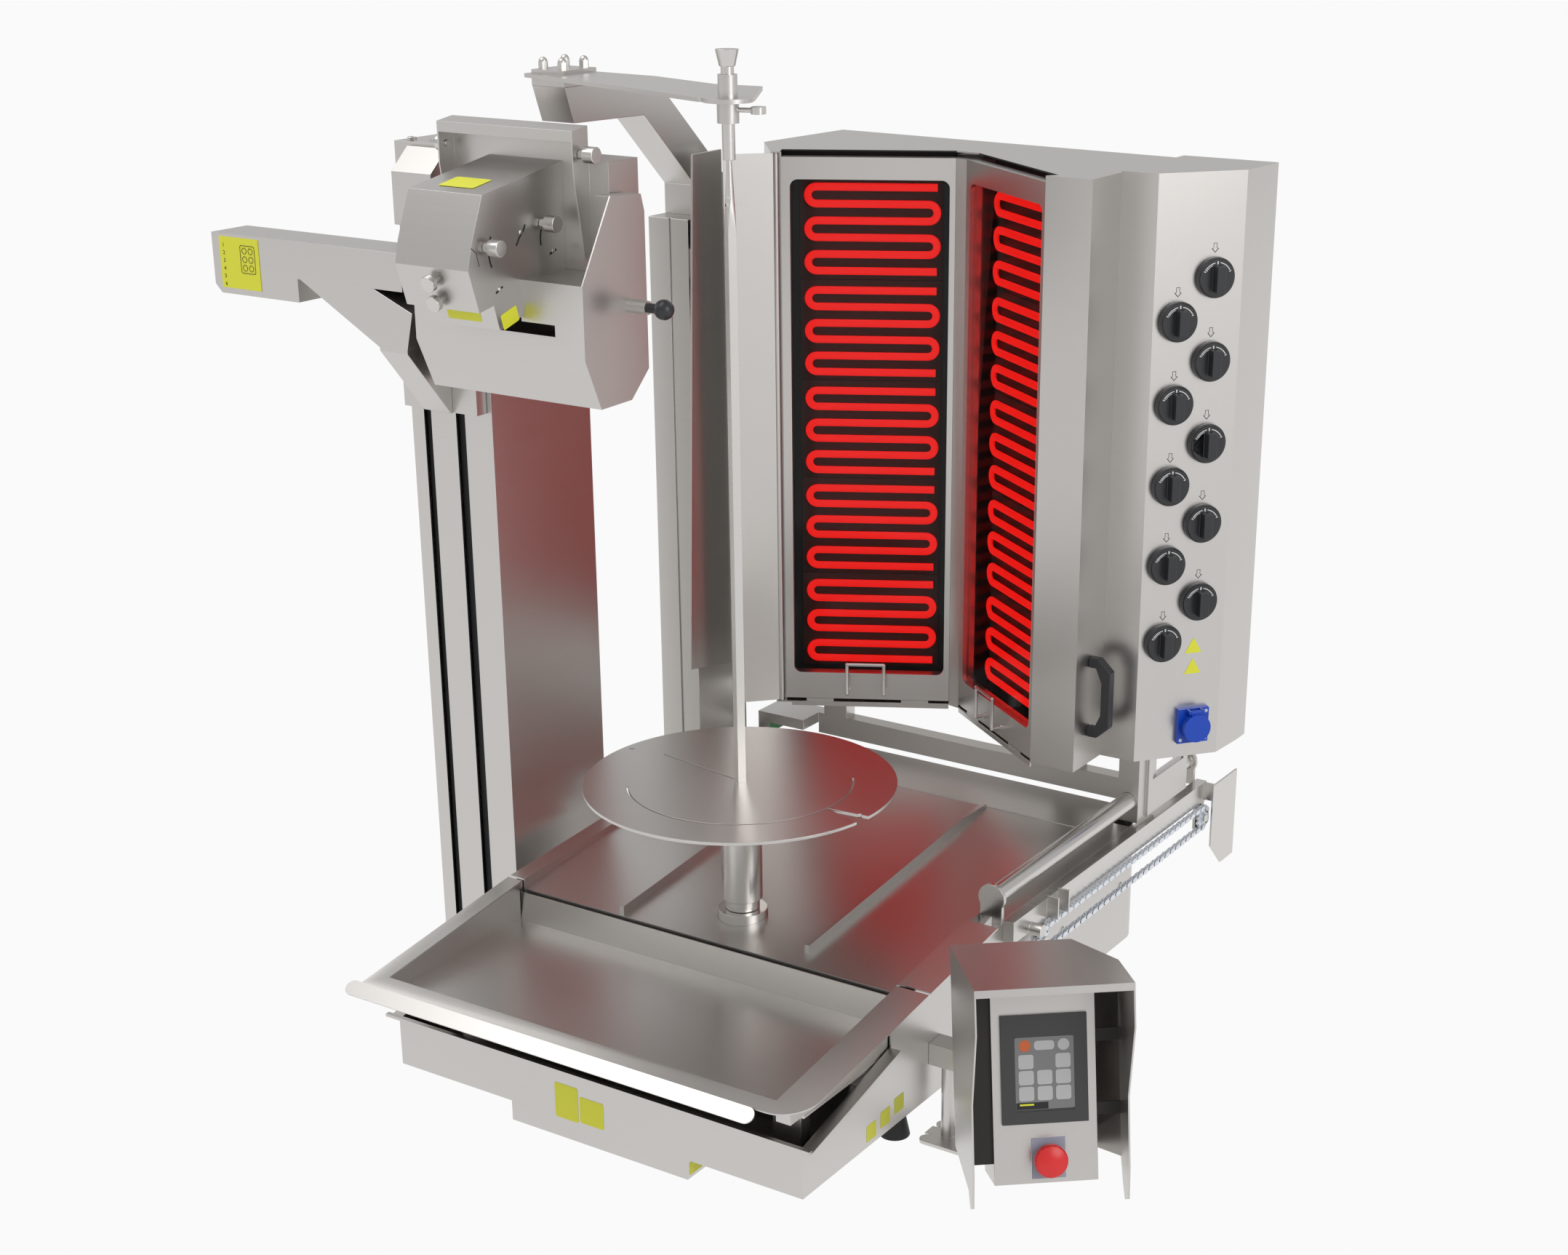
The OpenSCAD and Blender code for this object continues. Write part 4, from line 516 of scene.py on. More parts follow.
blank("front_film_1", place(-39, 0, 82), right, ahead, 36, 48, "base")
blank("front_film_2", place(0, 0, 78), right, ahead, 37, 36, "base")
low_box_right = 144
blank("low_box_film", place(low_box_right, 17, 44), -ahead, right, 26, 17, "base", radius=1.5)
casing_side = 310
side_film = 22
for number, (y, z) in enumerate(((150, 76), (182, 80), (214, 84))):
    blank(f"side_film_{number + 1}", place(casing_side, y, z), -ahead, right,
          side_film, side_film, "base", radius=2)
side_screw_z = 150
heads("side_screws", [(place(casing_side, y, side_screw_z), right) for y in (360, 640, 815)],
      "base", radius=5, height=2.2)

# Trays: the sloping rear tray is welded into the casing, with two drip ribs and a collar round the spit's post.
# The front tray is a folded pan that slides out like a drawer, with a wide rim and a long lip.
dress("rear_tray", sheet_steel, edge=0.5)
dress("front_tray", sheet_steel, edge=0.5)
dress("spit_collar", turned_steel, edge=0.8)

# Spit: a turned post under a round plate with a slotted lid, and a square blade bar held at its tip.
# The plate is laser cut, and its slits show as thin dark lines.
dress("spit_post", turned_steel, edge=1.0)
dress("spit_disc", sheet_steel, edge=0.5)
dress("spit_bar", turned_steel, edge=0.5)

# Columns: the lift column is a boxed extrusion with two guide slots and its drive box on top.
# The rear column carries the gooseneck, whose arm plate holds the spit's upper pin.
slot_front, slot_wall, slot_deep = 298, 5, 60
guide_slots = ((-476, -464), (-421, -406))
strip_low, strip_high, strip_thick = 62, 1043, 0.8


def painted_shade_in_slot(centre, normal):
    """Walls and bottoms of the lift column's guide slots, painted near-black as painted shade"""
    deep = (centre.y - place(0, slot_front, 0).y) / mm
    across = (centre.x - spit_x) / mm
    return 0.1 < deep < slot_deep and any(low - 0.5 < across < high + 0.5 for low, high in guide_slots)


# The guide slots' walls and bottoms get the near-black finish as painted shade; the strips in the slots are black
# rubber.
dress("lift_column", sheet_steel, edge=0.8, accents=((rubber_and_shade, painted_shade_in_slot),))
strip_face = face_frame(place(0, slot_front + slot_wall + 2, 0), right, ahead)
for number, (low, high) in enumerate(guide_slots):
    strip = [(low, strip_low), (high, strip_low), (high, strip_high), (low, strip_high)]
    outline_plate(f"slot_strip_{number + 1}", strip, strip_thick, strip_face, rubber_and_shade, "base", "rubber", edge=0)
dress("rear_column", sheet_steel, edge=0.8)
dress("gooseneck", sheet_steel, edge=0.8)
dress("arm_plate", sheet_steel, edge=0.6)
dress("lift_pin", turned_steel, edge=0.5)
dress("wing_screw", turned_steel, edge=0.5)
drive_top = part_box("lift_column")[1].z
heads("drive_box_screws", [(place(x, y, drive_top / mm), up) for x in (-482, -415) for y in (313, 383)],
      "base", radius=4.5, height=1.8)

# Robot: the carriage climbs the column and carries the console arm and the cutting head.
# The head's housing is folded sheet over the motor, with a trough guard round the blade and a back shield.
dress("carriage", sheet_steel, edge=0.8)
dress("console_arm", sheet_steel, edge=0.8)
dress("key_plate", yellow_film, edge=0.2)
ink = finish("black_ink", (0.02, 0.02, 0.015), 0.5, pitch=300.0, streak=0.01, cloud=0.01)
plate_low, plate_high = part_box("key_plate")


def ring_plate(name, outer, inner, thick, where, material, body, slot=None):
    """Flat ring between two outlines of as many points"""
    count = len(outer)
    shape = bmesh.new()
    rows = [[shape.verts.new((x * mm, y * mm, z * mm)) for x, y in loop]
            for loop, z in ((outer, 0), (outer, thick), (inner, thick), (inner, 0))]
    for a, b in zip(rows, rows[1:] + rows[:1]):
        for i in range(count):
            shape.faces.new((a[i], a[(i + 1) % count], b[(i + 1) % count], b[i]))
    bmesh.ops.recalc_face_normals(shape, faces=shape.faces)
    shape.transform(where)
    mesh = bpy.data.meshes.new(name)
    shape.to_mesh(mesh)
    shape.free()
    return piece(name, mesh, material, body, slot)


def joined(name, parts):
    """One object from several on the same body"""
    whole = bmesh.new()
    materials = []
    for part in parts:
        for m in part.data.materials:
            if m not in materials:
                materials.append(m)
    for part in parts:
        before = len(whole.faces)
        whole.from_mesh(part.data)
        whole.faces.ensure_lookup_table()
        numbers = [materials.index(m) for m in part.data.materials]
        for face in whole.faces[before:]:
            face.material_index = numbers[face.material_index]
    first = parts[0]
    mesh = bpy.data.meshes.new(name)
    whole.to_mesh(mesh)
    whole.free()
    for m in materials:
        mesh.materials.append(m)
    thing = piece(name, mesh, None, first["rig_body"], first.get("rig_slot"))
    for part in parts:
        bpy.data.objects.remove(part)
    return thing


keys = face_frame(Vector(((plate_low.x + plate_high.x) / 2, plate_low.y, (plate_low.z + plate_high.z) / 2)),
                  right, ahead)
pad_x, pad_y, pad_w, pad_h, pad_line = 15, 6, 26, 36, 0.7
key_r, key_gap = 4.2, 11
marks = [ring_plate("pad_edge", rounded(pad_w, pad_h, 3), rounded(pad_w - 2 * pad_line, pad_h - 2 * pad_line, 2.4),
                    film_thick, keys @ Matrix.Translation((pad_x * mm, pad_y * mm, 0)), ink, "carriage",
                    "yellow_label")]
for column in (-0.5, 0.5):
    for row in (-1, 0, 1):
        spot = keys @ Matrix.Translation(((pad_x + column * key_gap) * mm, (pad_y + row * key_gap) * mm, 0))
        circle = [[(r * cos(a * pi / 12), r * sin(a * pi / 12)) for a in range(24)]
                  for r in (key_r, key_r - pad_line)]
        marks.append(ring_plate("pad_key", *circle, film_thick, spot, ink, "carriage", "yellow_label"))
joined("pad_marks", marks)


digit_half, digit_lift = 0.1, 0.15


def number_marks(name, texts, height, where, body):
    """Plain digits as thin plates at places on a face, in millimetres"""
    parts = []
    for text, x, y in texts:
        curve = bpy.data.curves.new(name, "FONT")
        curve.body = text
        curve.size = height * mm
        curve.extrude = digit_half * mm
        holder = bpy.data.objects.new(name + "_holder", curve)
        scene.collection.objects.link(holder)
        bpy.context.view_layer.update()
        mesh = bpy.data.meshes.new_from_object(holder.evaluated_get(bpy.context.evaluated_depsgraph_get()))
        bpy.data.objects.remove(holder)
        mesh.transform(where @ Matrix.Translation((x * mm, y * mm, digit_lift * mm)))
        mesh.materials.clear()
        parts.append(piece(name + "_part", mesh, ink, body, "yellow_label"))
    return joined(name, parts)


digit_x, digit_top, digit_step, digit_h = -29, 20, 10, 7
number_marks("pad_numbers", [(str(i + 1), digit_x, digit_top - i * digit_step) for i in range(6)],
             digit_h, keys, "carriage")
dress("head_housing", sheet_steel, edge=0.8)
head_side = -219
top_slope = atan2(1176 - 1152, 288 - 140)
top_out = Vector((0, -sin(top_slope), cos(top_slope)))
blank("head_top_film", place(-275, 176, 1158.3), right, top_out, 54, 36, "head")
nose_slope = atan2(9, 31)
nose_out = Vector((0, -cos(nose_slope), -sin(nose_slope)))
blank("nose_film", place(-270, 155.5, 1006.5), right, nose_out, 52, 15, "head", radius=2)
blank("nose_side_film", place(head_side, 179, 1003.5), Vector((0, 0.96, 0.28)), right, 30, 19, "head", radius=2)


mark_thick = 0.12
wide_slot, thin_slot = 2.6, 1.0
head_face = face_frame(place(head_side, 0, 0), (0, 1, 0), right)


def painted_shade_slot(name, path, width):
    """Near-black plate along a path of (depth, height) points on the head's side, painted shade standing in for a
    slot cut through the sheet
    """
    left_edge, right_edge = [], []
    for i, (y, z) in enumerate(path):
        before, after = path[max(i - 1, 0)], path[min(i + 1, len(path) - 1)]
        d = Vector((after[0] - before[0], after[1] - before[1])).normalized() * width / 2
        left_edge.append((y - d.y, z + d.x))
        right_edge.append((y + d.y, z - d.x))
    outline = left_edge + right_edge[::-1]
    return outline_plate(name, outline, mark_thick, head_face, rubber_and_shade, "head", "rubber", edge=0)


def arc(centre, radius, start, end, steps=8):
    """Points along an arc between two angles in degrees"""
    return [(centre[0] + radius * cos(radians(start + (end - start) * i / steps)),
             centre[1] + radius * sin(radians(start + (end - start) * i / steps))) for i in range(steps + 1)]


# The head's slots are thin near-black plates on its side: painted shade where the sheet is cut through.
for number, path in enumerate((arc((185, 1084), 38, 150, 207), arc((279, 1087), 37, 160, 190),
                               [(215, 1109), (210, 1101), (203, 1095), (197, 1086)], [(271, 1072), (258, 1068)],
                               [(169, 1042), (156, 1036)], [(116, 1094), (125, 1087), (129, 1071)])):
    painted_shade_slot(f"head_slot_painted_shade_{number + 1}", path, wide_slot if number < 5 else thin_slot)
heads("head_rivets", [(place(head_side, y, z), right) for y, z in ((206, 1101), (265, 1071), (163, 1040))],
      "head", radius=3.0, height=1.4)
dress("trough", sheet_steel, edge=0.5)
dress("back_shield", sheet_steel, edge=0.5)
dress("blade", turned_steel, edge=0.2)
for name in ("button_upper", "button_lower", "side_knob_front", "side_knob_rear",
             "shield_knob_left", "shield_knob_right"):
    dress(name, turned_steel, edge=0.9, segments=3)
black_plastic = finish("black_plastic", (0.022, 0.023, 0.026), 0.34, pitch=700.0, streak=0.05, cloud=0.05)
ball_from = place(-90, 0, 0).x
dress("plunger", turned_steel, edge=0.4, accents=((black_plastic, lambda centre, normal: centre.x > ball_from),))

# Heater: a sheet shell on a beam, with two glazed doors that meet in a V before the winding elements.
# The shell's faces behind the windows are painted near-black as painted shade, and each window shows five zones
# with a glowing ribbon in each.
drip_edge, door_foot = 6, 6
heater_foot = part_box("heater_shell")[0].z / mm + drip_edge
door_z = heater_foot + door_foot
lining_front, lining_back, lining_side = 17, 47, 2
glide_end, glide_top = -281, 281.6
door_turns = {"left": (place(-224, 765, 0), radians(28.1), 240),
              "right": (place(7, 874, 0), radians(-35.5), 239.5)}


def door_frame(side):
    """Frame on a door's face: x along it from its left edge, y up, z out towards the spit"""
    corner, turn, width = door_turns[side]
    return face_frame(corner + up * door_z * mm, (cos(turn), sin(turn), 0), (sin(turn), -cos(turn), 0))


def painted_shade_behind_door(centre, normal):
    """Faces of the shell that line the space behind the two windows, painted near-black as painted shade"""
    for side, (corner, turn, width) in door_turns.items():
        local = door_frame(side).inverted() @ centre / mm
        within = lining_front < -local.z < lining_back and -lining_side < local.x < width + lining_side
        if within and abs(normal.z) < 0.5:
            return True
    return False


# Near-black finish: painted shade on the shell behind the windows, and plain black on the screen's key strip.
black_and_shade = finish("black_and_painted_shade", (0.006, 0.007, 0.007), 0.5, pitch=200.0, streak=0.02, cloud=0.03)
dress("heater_shell", sheet_steel, edge=0.8, accents=((black_and_shade, painted_shade_behind_door),), merge=False)
green_glide = finish("green_glide", (0.0, 0.22, 0.03), 0.45, pitch=500.0, streak=0.03, cloud=0.04)


def on_glide(centre, normal):
    """Faces of the plastic glide under the beam's left end"""
    return centre.x < place(glide_end, 0, 0).x and centre.z < glide_top * mm


dress("heater_beam", sheet_steel, edge=0.8, accents=((green_glide, on_glide),))
dress("left_wing", sheet_steel, edge=0.4)
dress("door_left", sheet_steel, edge=0.8)
dress("door_right", sheet_steel, edge=0.8)
hot_red = bpy.data.materials.new("hot_element")
hot_red.use_nodes = True
shader = hot_red.node_tree.nodes["Principled BSDF"]
shader.inputs["Base Color"].default_value = (0.05, 0.001, 0.001, 1)
shader.inputs["Emission Color"].default_value = (1, 0.005, 0.002, 1)
shader.inputs["Emission Strength"].default_value = 1.0
bars, zones = 6, 5
window_in, window_w, window_low = 12, 220, 40
window_h = 714
zone = window_h / zones
winding_share = 0.81
bar_pitch = zone * winding_share / (bars - 1)
bar_from, bar_to = 34, 214
board_from, board_to, board_back, board_thick = 22, 222, 44.2, 6
ribbon_w, ribbon_t, ribbon_corner, ribbon_back = 10.6, 5.0, 2, 30


def tube_tree():
    """Ribbon with round edges, run along the lines that it is given"""
    tree, given, result = geometry_tree(
        "wound_ribbon", {"Width": ribbon_w, "Thickness": ribbon_t, "Corner": ribbon_corner})
    n, link = tree.nodes, tree.links.new
    line = n.new("GeometryNodeMeshToCurve")
    section = n.new("GeometryNodeCurvePrimitiveQuadrilateral")
    soften = n.new("GeometryNodeFilletCurve")
    soften.mode = "POLY"
    soften.inputs["Count"].default_value = 3
    sweep = n.new("GeometryNodeCurveToMesh")
    sweep.inputs["Fill Caps"].default_value = True
    link(given.outputs["Geometry"], line.inputs["Mesh"])
    link(given.outputs["Width"], section.inputs["Height"])
    link(given.outputs["Thickness"], section.inputs["Width"])
    link(section.outputs[0], soften.inputs["Curve"])
    link(given.outputs["Corner"], soften.inputs["Radius"])
    link(line.outputs[0], sweep.inputs["Curve"])
    link(soften.outputs[0], sweep.inputs["Profile Curve"])
    return close_tree(tree, given, result, sweep.outputs[0])


wound_ribbon = tube_tree()


def winding():
    """Middle line of one zone's element, from its lowest bar up"""
    r = bar_pitch / 2
    path = [(bar_to, 0)]
    for i in range(bars - 1):
        for a in range(0, 181, 180 // 12):
            shift = r - r * sin(radians(a))
            x = bar_from + shift if i % 2 == 0 else bar_to - shift
            path.append((x, i * bar_pitch + r - r * cos(radians(a))))
    return path + [(bar_to, (bars - 1) * bar_pitch)]


def elements_line():
    """Middle lines of all the elements, behind the two windows"""
    base = bmesh.new()
    for side in door_turns:
        where = door_frame(side)
        for i in range(zones):
            low = window_low + i * zone + (zone - (bars - 1) * bar_pitch) / 2
            row = [base.verts.new(where @ Vector((x * mm, (low + y) * mm, -ribbon_back * mm)))
                   for x, y in winding()]
            for a, b in zip(row, row[1:]):
                base.edges.new((a, b))
    mesh = bpy.data.meshes.new("elements_line")
    base.to_mesh(mesh)
    base.free()
    return mesh


grown("element_ribbons", elements_line(), wound_ribbon,
      {"Width": ribbon_w * mm, "Thickness": ribbon_t * mm, "Corner": ribbon_corner * mm, "Finish": hot_red},
      "heater", "glowing_element", ("elements",))
board_clay = finish("board_clay", (0.030, 0.012, 0.010), 0.75, pitch=350.0, streak=0.05, cloud=0.12)
boards = []
for side in door_turns:
    for i in range(zones):
        where = door_frame(side) @ Matrix.Translation((
            (board_from + board_to) / 2 * mm, (window_low + (i + 0.5) * zone) * mm, -board_back * mm))
        boards.append(outline_plate("board", rounded(board_to - board_from, zone - 0.8, 1), board_thick, where,
                                    board_clay, "heater", "glowing_element", edge=0.4))
joined("element_boards", boards)


corner_r, corner_deep = 11, 6.2


def corner_fill(name, side, body):
    """Rounded corners of a door's window opening"""
    r, parts = corner_r, []
    for cx, sx in ((window_in, 1), (window_in + window_w, -1)):
        for cy, sy in ((window_low, 1), (window_low + window_h, -1)):
            curve = [(cx + sx * r - sx * r * cos(a * pi / 16), cy + sy * r - sy * r * sin(a * pi / 16))
                     for a in range(9)]
            points = [(cx, cy)] + (curve if sx * sy < 0 else curve[::-1])
            where = door_frame(side) @ Matrix.Translation((0, 0, -corner_deep * mm))
            parts.append(outline_plate(name, points, corner_deep, where, sheet_steel, body, "sheet_steel", edge=0))
    return joined(name, parts)


for side in door_turns:
    corner_fill(f"window_corners_{side}", side, f"door_{side}")
clear_glass = bpy.data.materials.new("ceramic_glass")
clear_glass.use_nodes = True
shader = clear_glass.node_tree.nodes["Principled BSDF"]
shader.inputs["Base Color"].default_value = (0.004, 0.004, 0.004, 1)
shader.inputs["Roughness"].default_value = 0.05
shader.inputs["Alpha"].default_value = 0.14
dress("glass_left", clear_glass, edge=0.3)
dress("glass_right", clear_glass, edge=0.3)
dress("side_handle", black_plastic, edge=2.0, segments=3)

# Control box: a folded sheet box on the heater's right side, with ten dials in two columns and a blue socket.
# Each dial carries its printed scale, and a small arrow on the sheet above it points at its mark.
# Two plain yellow films are stuck beside the lowest dial.
dress("control_box", sheet_steel, edge=0.8)
blue_plastic = finish("blue_plastic", (0.0, 0.055, 0.48), 0.38, pitch=700.0, streak=0.03, cloud=0.03)
dress("socket_base", blue_plastic, edge=0.8)
dress("socket_lid", blue_plastic, edge=0.8)
panel_turn = radians(50.2)
panel_along = Vector((cos(panel_turn), sin(panel_turn), 0))
panel_out = Vector((sin(panel_turn), -cos(panel_turn), 0))
panel_corner = place(322, 815, 0)
socket_along, socket_up, socket_step = 84, 387, 8
screw_x, screw_y = 18.5, 20
socket_at = panel_corner + panel_along * socket_along * mm + up * socket_up * mm + panel_out * socket_step * mm
white_ring = finish("pale_screw", (0.55, 0.62, 0.72), 0.35, pitch=700.0)
heads("socket_screws", [(socket_at + panel_along * x * mm + up * y * mm, panel_out)
                        for x, y in ((-screw_x, -screw_y), (screw_x, -screw_y), (screw_x, screw_y))],
      "heater", radius=2.6, height=1.2, material=white_ring, slot="blue_plastic")
print_white = finish("print_white", (0.75, 0.75, 0.75), 0.5, pitch=300.0, streak=0.01, cloud=0.01)
dial_r, dial_face, dial_line, dial_thick = 20.6, 10.0, 1.1, 0.15
arrow_up, arrow_w, arrow_h, arrow_line, arrow_thick = 44, 10.5, 13, 0.7, 0.1


def band(radius, start, end, width):
    """Outline of a curved band between two angles"""
    return arc((0, 0), radius, start, end, 10) + arc((0, 0), radius - width, end, start, 10)


def arrow_outline(shrink):
    """Outline of an arrow that points down, with its line's width taken off all round"""
    half, stem = arrow_w / 2 - 1.6 * shrink, arrow_w / 4 - shrink
    top, neck, tip = arrow_h - shrink, arrow_h * 0.45 - shrink * 0.2, 1.9 * shrink
    neck_low = neck + shrink * 0.8
    return [(0, tip), (half, neck_low), (stem, neck_low), (stem, top),
            (-stem, top), (-stem, neck_low), (-half, neck_low)]


dial_columns = (34, 84)
dial_bands = (band(dial_r, 100, 150, dial_line), band(dial_r - 2.2, 106, 150, dial_line * 0.7),
              band(dial_r, 30, 80, dial_line), band(dial_r + 1.2, 87, 93, 4),
              band(dial_r + 0.8, 24, 27, 3), band(dial_r + 0.8, 153, 156, 3))
for number in range(1, 11):
    knob = f"knob_{number}"
    dress(knob, black_plastic, edge=1.2, segments=3)
    knob_low, knob_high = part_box(knob)
    column = dial_columns[number % 2]
    height = (knob_low.z + knob_high.z) / 2
    middle_point = panel_corner + panel_along * column * mm + up * height
    dial = face_frame(middle_point + panel_out * dial_face * mm, panel_along, panel_out)
    marks = [outline_plate("dial_mark", shape, dial_thick, dial, print_white, knob, "black_plastic", edge=0)
             for shape in dial_bands]
    joined(f"dial_marks_{number}", marks)
    arrow_at = face_frame(middle_point + up * (arrow_up - arrow_h) * mm, panel_along, panel_out)
    ring_plate(f"dial_arrow_{number}", arrow_outline(0), arrow_outline(arrow_line), arrow_thick, arrow_at, ink,
               "heater", "sheet_steel")

triangle = [(-12.5, -11), (12.5, -11), (0, 11)]
triangle_along = 82
for number, height in ((1, 502), (2, 472)):
    triangle_at = panel_corner + panel_along * triangle_along * mm + up * height * mm
    outline_plate(f"box_film_{number}", triangle, film_thick, face_frame(triangle_at, panel_along, panel_out),
                  yellow_film, "heater", "yellow_label", edge=0)

# Slide: a round bar and a side beam carry the heater, and a roller chain on two sprockets draws it.
# The chain is a row of links, grown along its loop one pitch apart.
dress("slide_rail", turned_steel, edge=0.5)
plated_steel = finish("plated_steel", (0.74, 0.77, 0.82), 0.32, metallic=0.7, pitch=900.0)
chain_pitch, chain_links = 8, 125
chain_r = 15.455
roller_r, chain_w, link_t = 3.1, 5.2, 1.1
link_h_share, link_l_share = 1.15, 0.86
chain_x, chain_z = place(330, 0, 0).x, 180 * mm
chain_front, chain_back = place(0, 540, 0).y, place(0, 1040, 0).y


def chain_points():
    """Pins of the chain along its loop, each with the loop's direction there"""
    straight, turn_len = (chain_back - chain_front) / mm, pi * chain_r
    whole = 2 * (straight + turn_len)
    spots = []
    for i in range(chain_links):
        d = i * whole / chain_links
        if d < straight:
            spots.append((chain_front + d * mm, chain_z + chain_r * mm, 0))
        elif d < straight + turn_len:
            a = (d - straight) / chain_r
            spots.append((chain_back + chain_r * sin(a) * mm, chain_z + chain_r * cos(a) * mm, a))
        elif d < 2 * straight + turn_len:
            spots.append((chain_back - (d - straight - turn_len) * mm, chain_z - chain_r * mm, pi))
        else:
            a = (d - 2 * straight - turn_len) / chain_r
            spots.append((chain_front - chain_r * sin(a) * mm, chain_z - chain_r * cos(a) * mm, pi + a))
    return [(Vector((chain_x, y, z)), Vector((0, cos(a), -sin(a)))) for y, z, a in spots]


def link_tree():
    """Roller and two side plates on each point, wide and narrow by turns"""
    tree, given, result = geometry_tree("chain_links", {
        "Pitch": chain_pitch, "Roller": roller_r, "Width": chain_w, "Plate": link_t})
    n, link = tree.nodes, tree.links.new
    gather = n.new("GeometryNodeJoinGeometry")
    roller = n.new("GeometryNodeMeshCylinder")
    roller.inputs["Vertices"].default_value = 14
    lay = n.new("GeometryNodeTransform")
    lay.inputs["Rotation"].default_value = (0, pi / 2, 0)
    link(given.outputs["Roller"], roller.inputs["Radius"])
    link(given.outputs["Width"], roller.inputs["Depth"])
    link(roller.outputs["Mesh"], lay.inputs["Geometry"])
    turn = aimed(tree, "Y")
    odd = maths(tree, "MODULO", n.new("GeometryNodeInputIndex").outputs[0], 2)
    for wide in (0, 1):
        pair = n.new("GeometryNodeJoinGeometry")
        for side in (-1, 1):
            plate = n.new("GeometryNodeMeshCylinder")
            plate.inputs["Vertices"].default_value = 16
            plate.inputs["Radius"].default_value = 1.0
            plate.inputs["Depth"].default_value = 1.0
            form = n.new("GeometryNodeTransform")
            form.inputs["Rotation"].default_value = (0, pi / 2, 0)
            size, shift = n.new("ShaderNodeCombineXYZ"), n.new("ShaderNodeCombineXYZ")
            link(maths(tree, "MULTIPLY", given.outputs["Roller"], link_h_share), size.inputs["X"])
            link(maths(tree, "MULTIPLY", given.outputs["Pitch"], link_l_share), size.inputs["Y"])
            link(given.outputs["Plate"], size.inputs["Z"])
            half_w = maths(tree, "MULTIPLY", given.outputs["Width"], 0.5 * side)
            step = maths(tree, "MULTIPLY", given.outputs["Plate"], side * (0.5 - wide))
            link(maths(tree, "ADD", half_w, step), shift.inputs["X"])
            link(maths(tree, "MULTIPLY", given.outputs["Pitch"], 0.5), shift.inputs["Y"])
            link(plate.outputs["Mesh"], form.inputs["Geometry"])
            link(size.outputs[0], form.inputs["Scale"])
            link(shift.outputs[0], form.inputs["Translation"])
            link(form.outputs["Geometry"], pair.inputs[0])
        put = n.new("GeometryNodeInstanceOnPoints")
        link(given.outputs["Geometry"], put.inputs["Points"])
        link(maths(tree, "GREATER_THAN" if wide else "LESS_THAN", odd, 0.5), put.inputs["Selection"])
        link(pair.outputs[0], put.inputs["Instance"])
        link(turn, put.inputs["Rotation"])
        link(put.outputs["Instances"], gather.inputs[0])
    pins = n.new("GeometryNodeInstanceOnPoints")
    link(given.outputs["Geometry"], pins.inputs["Points"])
    link(lay.outputs["Geometry"], pins.inputs["Instance"])
    link(turn, pins.inputs["Rotation"])
    link(pins.outputs["Instances"], gather.inputs[0])
    return close_tree(tree, given, result, gather.outputs[0])


chain = grown("roller_chain", aimed_points("chain_pins", chain_points()), link_tree(), {"Finish": plated_steel},
              "base", "chain_steel", ("drive_chain",))
chain.data.set_sharp_from_angle(angle=sharp_angle)
dress("sprocket_front", plated_steel, edge=0.2)
dress("sprocket_rear", plated_steel, edge=0.2)

# Touch panel station: a leaning panel box under a folded hood on a post, with a red stop button.
# The screen shows plain rounded keys with nothing written on them.
station_turn, station_lean = radians(39.2), radians(15.3)
panel_face = Vector((sin(station_turn) * cos(station_lean), -cos(station_turn) * cos(station_lean),
                     sin(station_lean)))
station = face_frame(place(511, 209, 193), (cos(station_turn), sin(station_turn), 0), panel_face)
to_station = station.inverted()
box_half, hood_half, tie_back, tie_half = 62, 91.3, 5, 6
stop_x, stop_down, stop_half_w, stop_half_h, stop_thick = 3, 107, 20.5, 25, 1.6


def painted_shade_under_hood(centre, normal):
    """Faces of the ties between the panel box and the hood's walls, given dark steel as painted shade"""
    local = to_station @ centre / mm
    return abs(local.z + tie_back) < tie_half and box_half < abs(local.x) < hood_half


def stop_plate(centre, normal):
    """Faces of the bare plate behind the stop button"""
    local = to_station @ centre / mm
    on_plate = abs(local.x - stop_x) < stop_half_w and abs(local.y + stop_down) < stop_half_h
    return on_plate and 0.1 < local.z < stop_thick
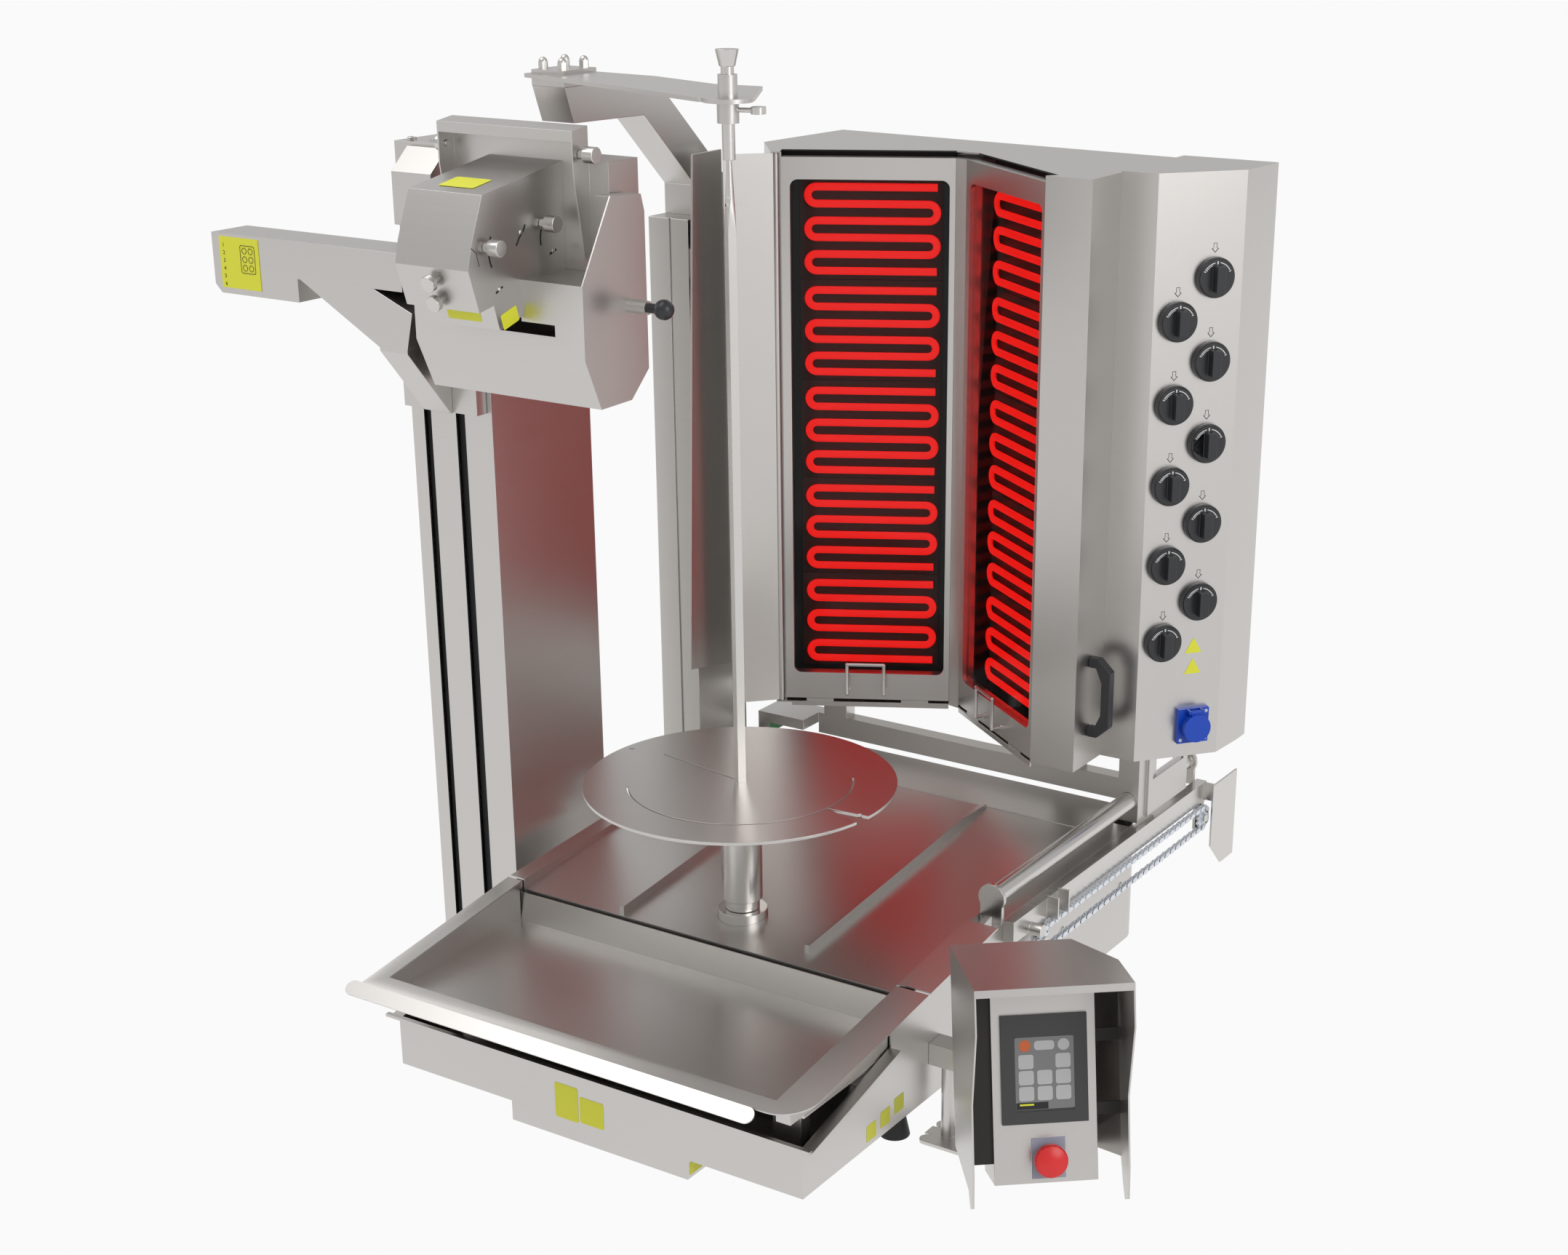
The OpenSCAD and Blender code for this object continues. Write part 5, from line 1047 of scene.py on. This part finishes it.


# The ties under the hood get dark steel as painted shade of the gap between the box and the hood.
painted_shade_steel = finish("shaded_steel", (0.03, 0.028, 0.027), 0.5, metallic=0.6)
dress("hmi_bracket", sheet_steel, edge=0.8)
dress("hmi_hood", sheet_steel, edge=0.5, accents=((painted_shade_steel, painted_shade_under_hood),))
pale_plate = finish("pale_plate", (0.31, 0.32, 0.40), 0.4, pitch=300.0, streak=0.01, cloud=0.02)
dress("hmi_box", sheet_steel, edge=0.8, accents=((pale_plate, stop_plate),))
bezel_grey = finish("bezel_grey", (0.042, 0.042, 0.042), 0.4, pitch=700.0, streak=0.03, cloud=0.03)
dress("hmi_bezel", bezel_grey, edge=0.8)
bezel_out = max((to_station @ v.co).z for v in frame["nodes"]["hmi_bezel"].data.vertices)
screen_grey = finish("screen_grey", (0.19, 0.19, 0.19), 0.25, pitch=300.0, streak=0.01, cloud=0.05)
key_silver = finish("key_silver", (0.46, 0.46, 0.47), 0.3, pitch=60.0, streak=0.02, cloud=0.35)
key_orange = finish("key_orange", (0.55, 0.12, 0.03), 0.35, pitch=300.0, streak=0.02, cloud=0.06)
screen_v, screen_w, screen_h, key_out = -4.5, 70, 86, 0.25
top_key_w, top_key_h, top_key_r, top_key_v, top_key_gap = 24, 11, 7, 33, 23
screen_key_w, screen_key_h, screen_key_v, key_column, key_row = 18, 17, 14, 22, 19


def on_screen(name, points, u, v, lift, material):
    """Thin plate on the screen, with its middle at a place on the panel's face"""
    at = station @ Matrix.Translation((u * mm, v * mm, bezel_out + lift * mm))
    return outline_plate(name, points, key_out, at, material, "base", "dark_glass", edge=0)


screen = [on_screen("screen", rounded(screen_w, screen_h, 2), 0, screen_v, 0, screen_grey)]
round_key = [(top_key_r * cos(a * pi / 14), top_key_r * sin(a * pi / 14)) for a in range(28)]
long_key, screen_key = rounded(top_key_w, top_key_h, 4), rounded(screen_key_w, screen_key_h, 3)
for column in (-1, 0, 1):
    screen.append(on_screen("key", round_key if column else long_key, column * top_key_gap, screen_v + top_key_v,
                            key_out, key_orange if column < 0 else key_silver))
    for row in range(3):
        if column or row:
            key_v = screen_v + screen_key_v - row * key_row
            screen.append(on_screen("key", screen_key, column * key_column, key_v, key_out, key_silver))
screen.append(on_screen("key_strip", rounded(38, 8, 0.6), -15.5, screen_v - 38.5, key_out, black_and_shade))
screen.append(on_screen("key_line", rounded(17, 2, 0.6), -22, screen_v - 37, 2 * key_out, yellow_film))
joined("touch_screen", screen)
red_plastic = finish("red_plastic", (0.7, 0.02, 0.02), 0.3, pitch=700.0, streak=0.03, cloud=0.03)
dress("stop_button", red_plastic, edge=1.5, segments=3)

low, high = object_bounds()
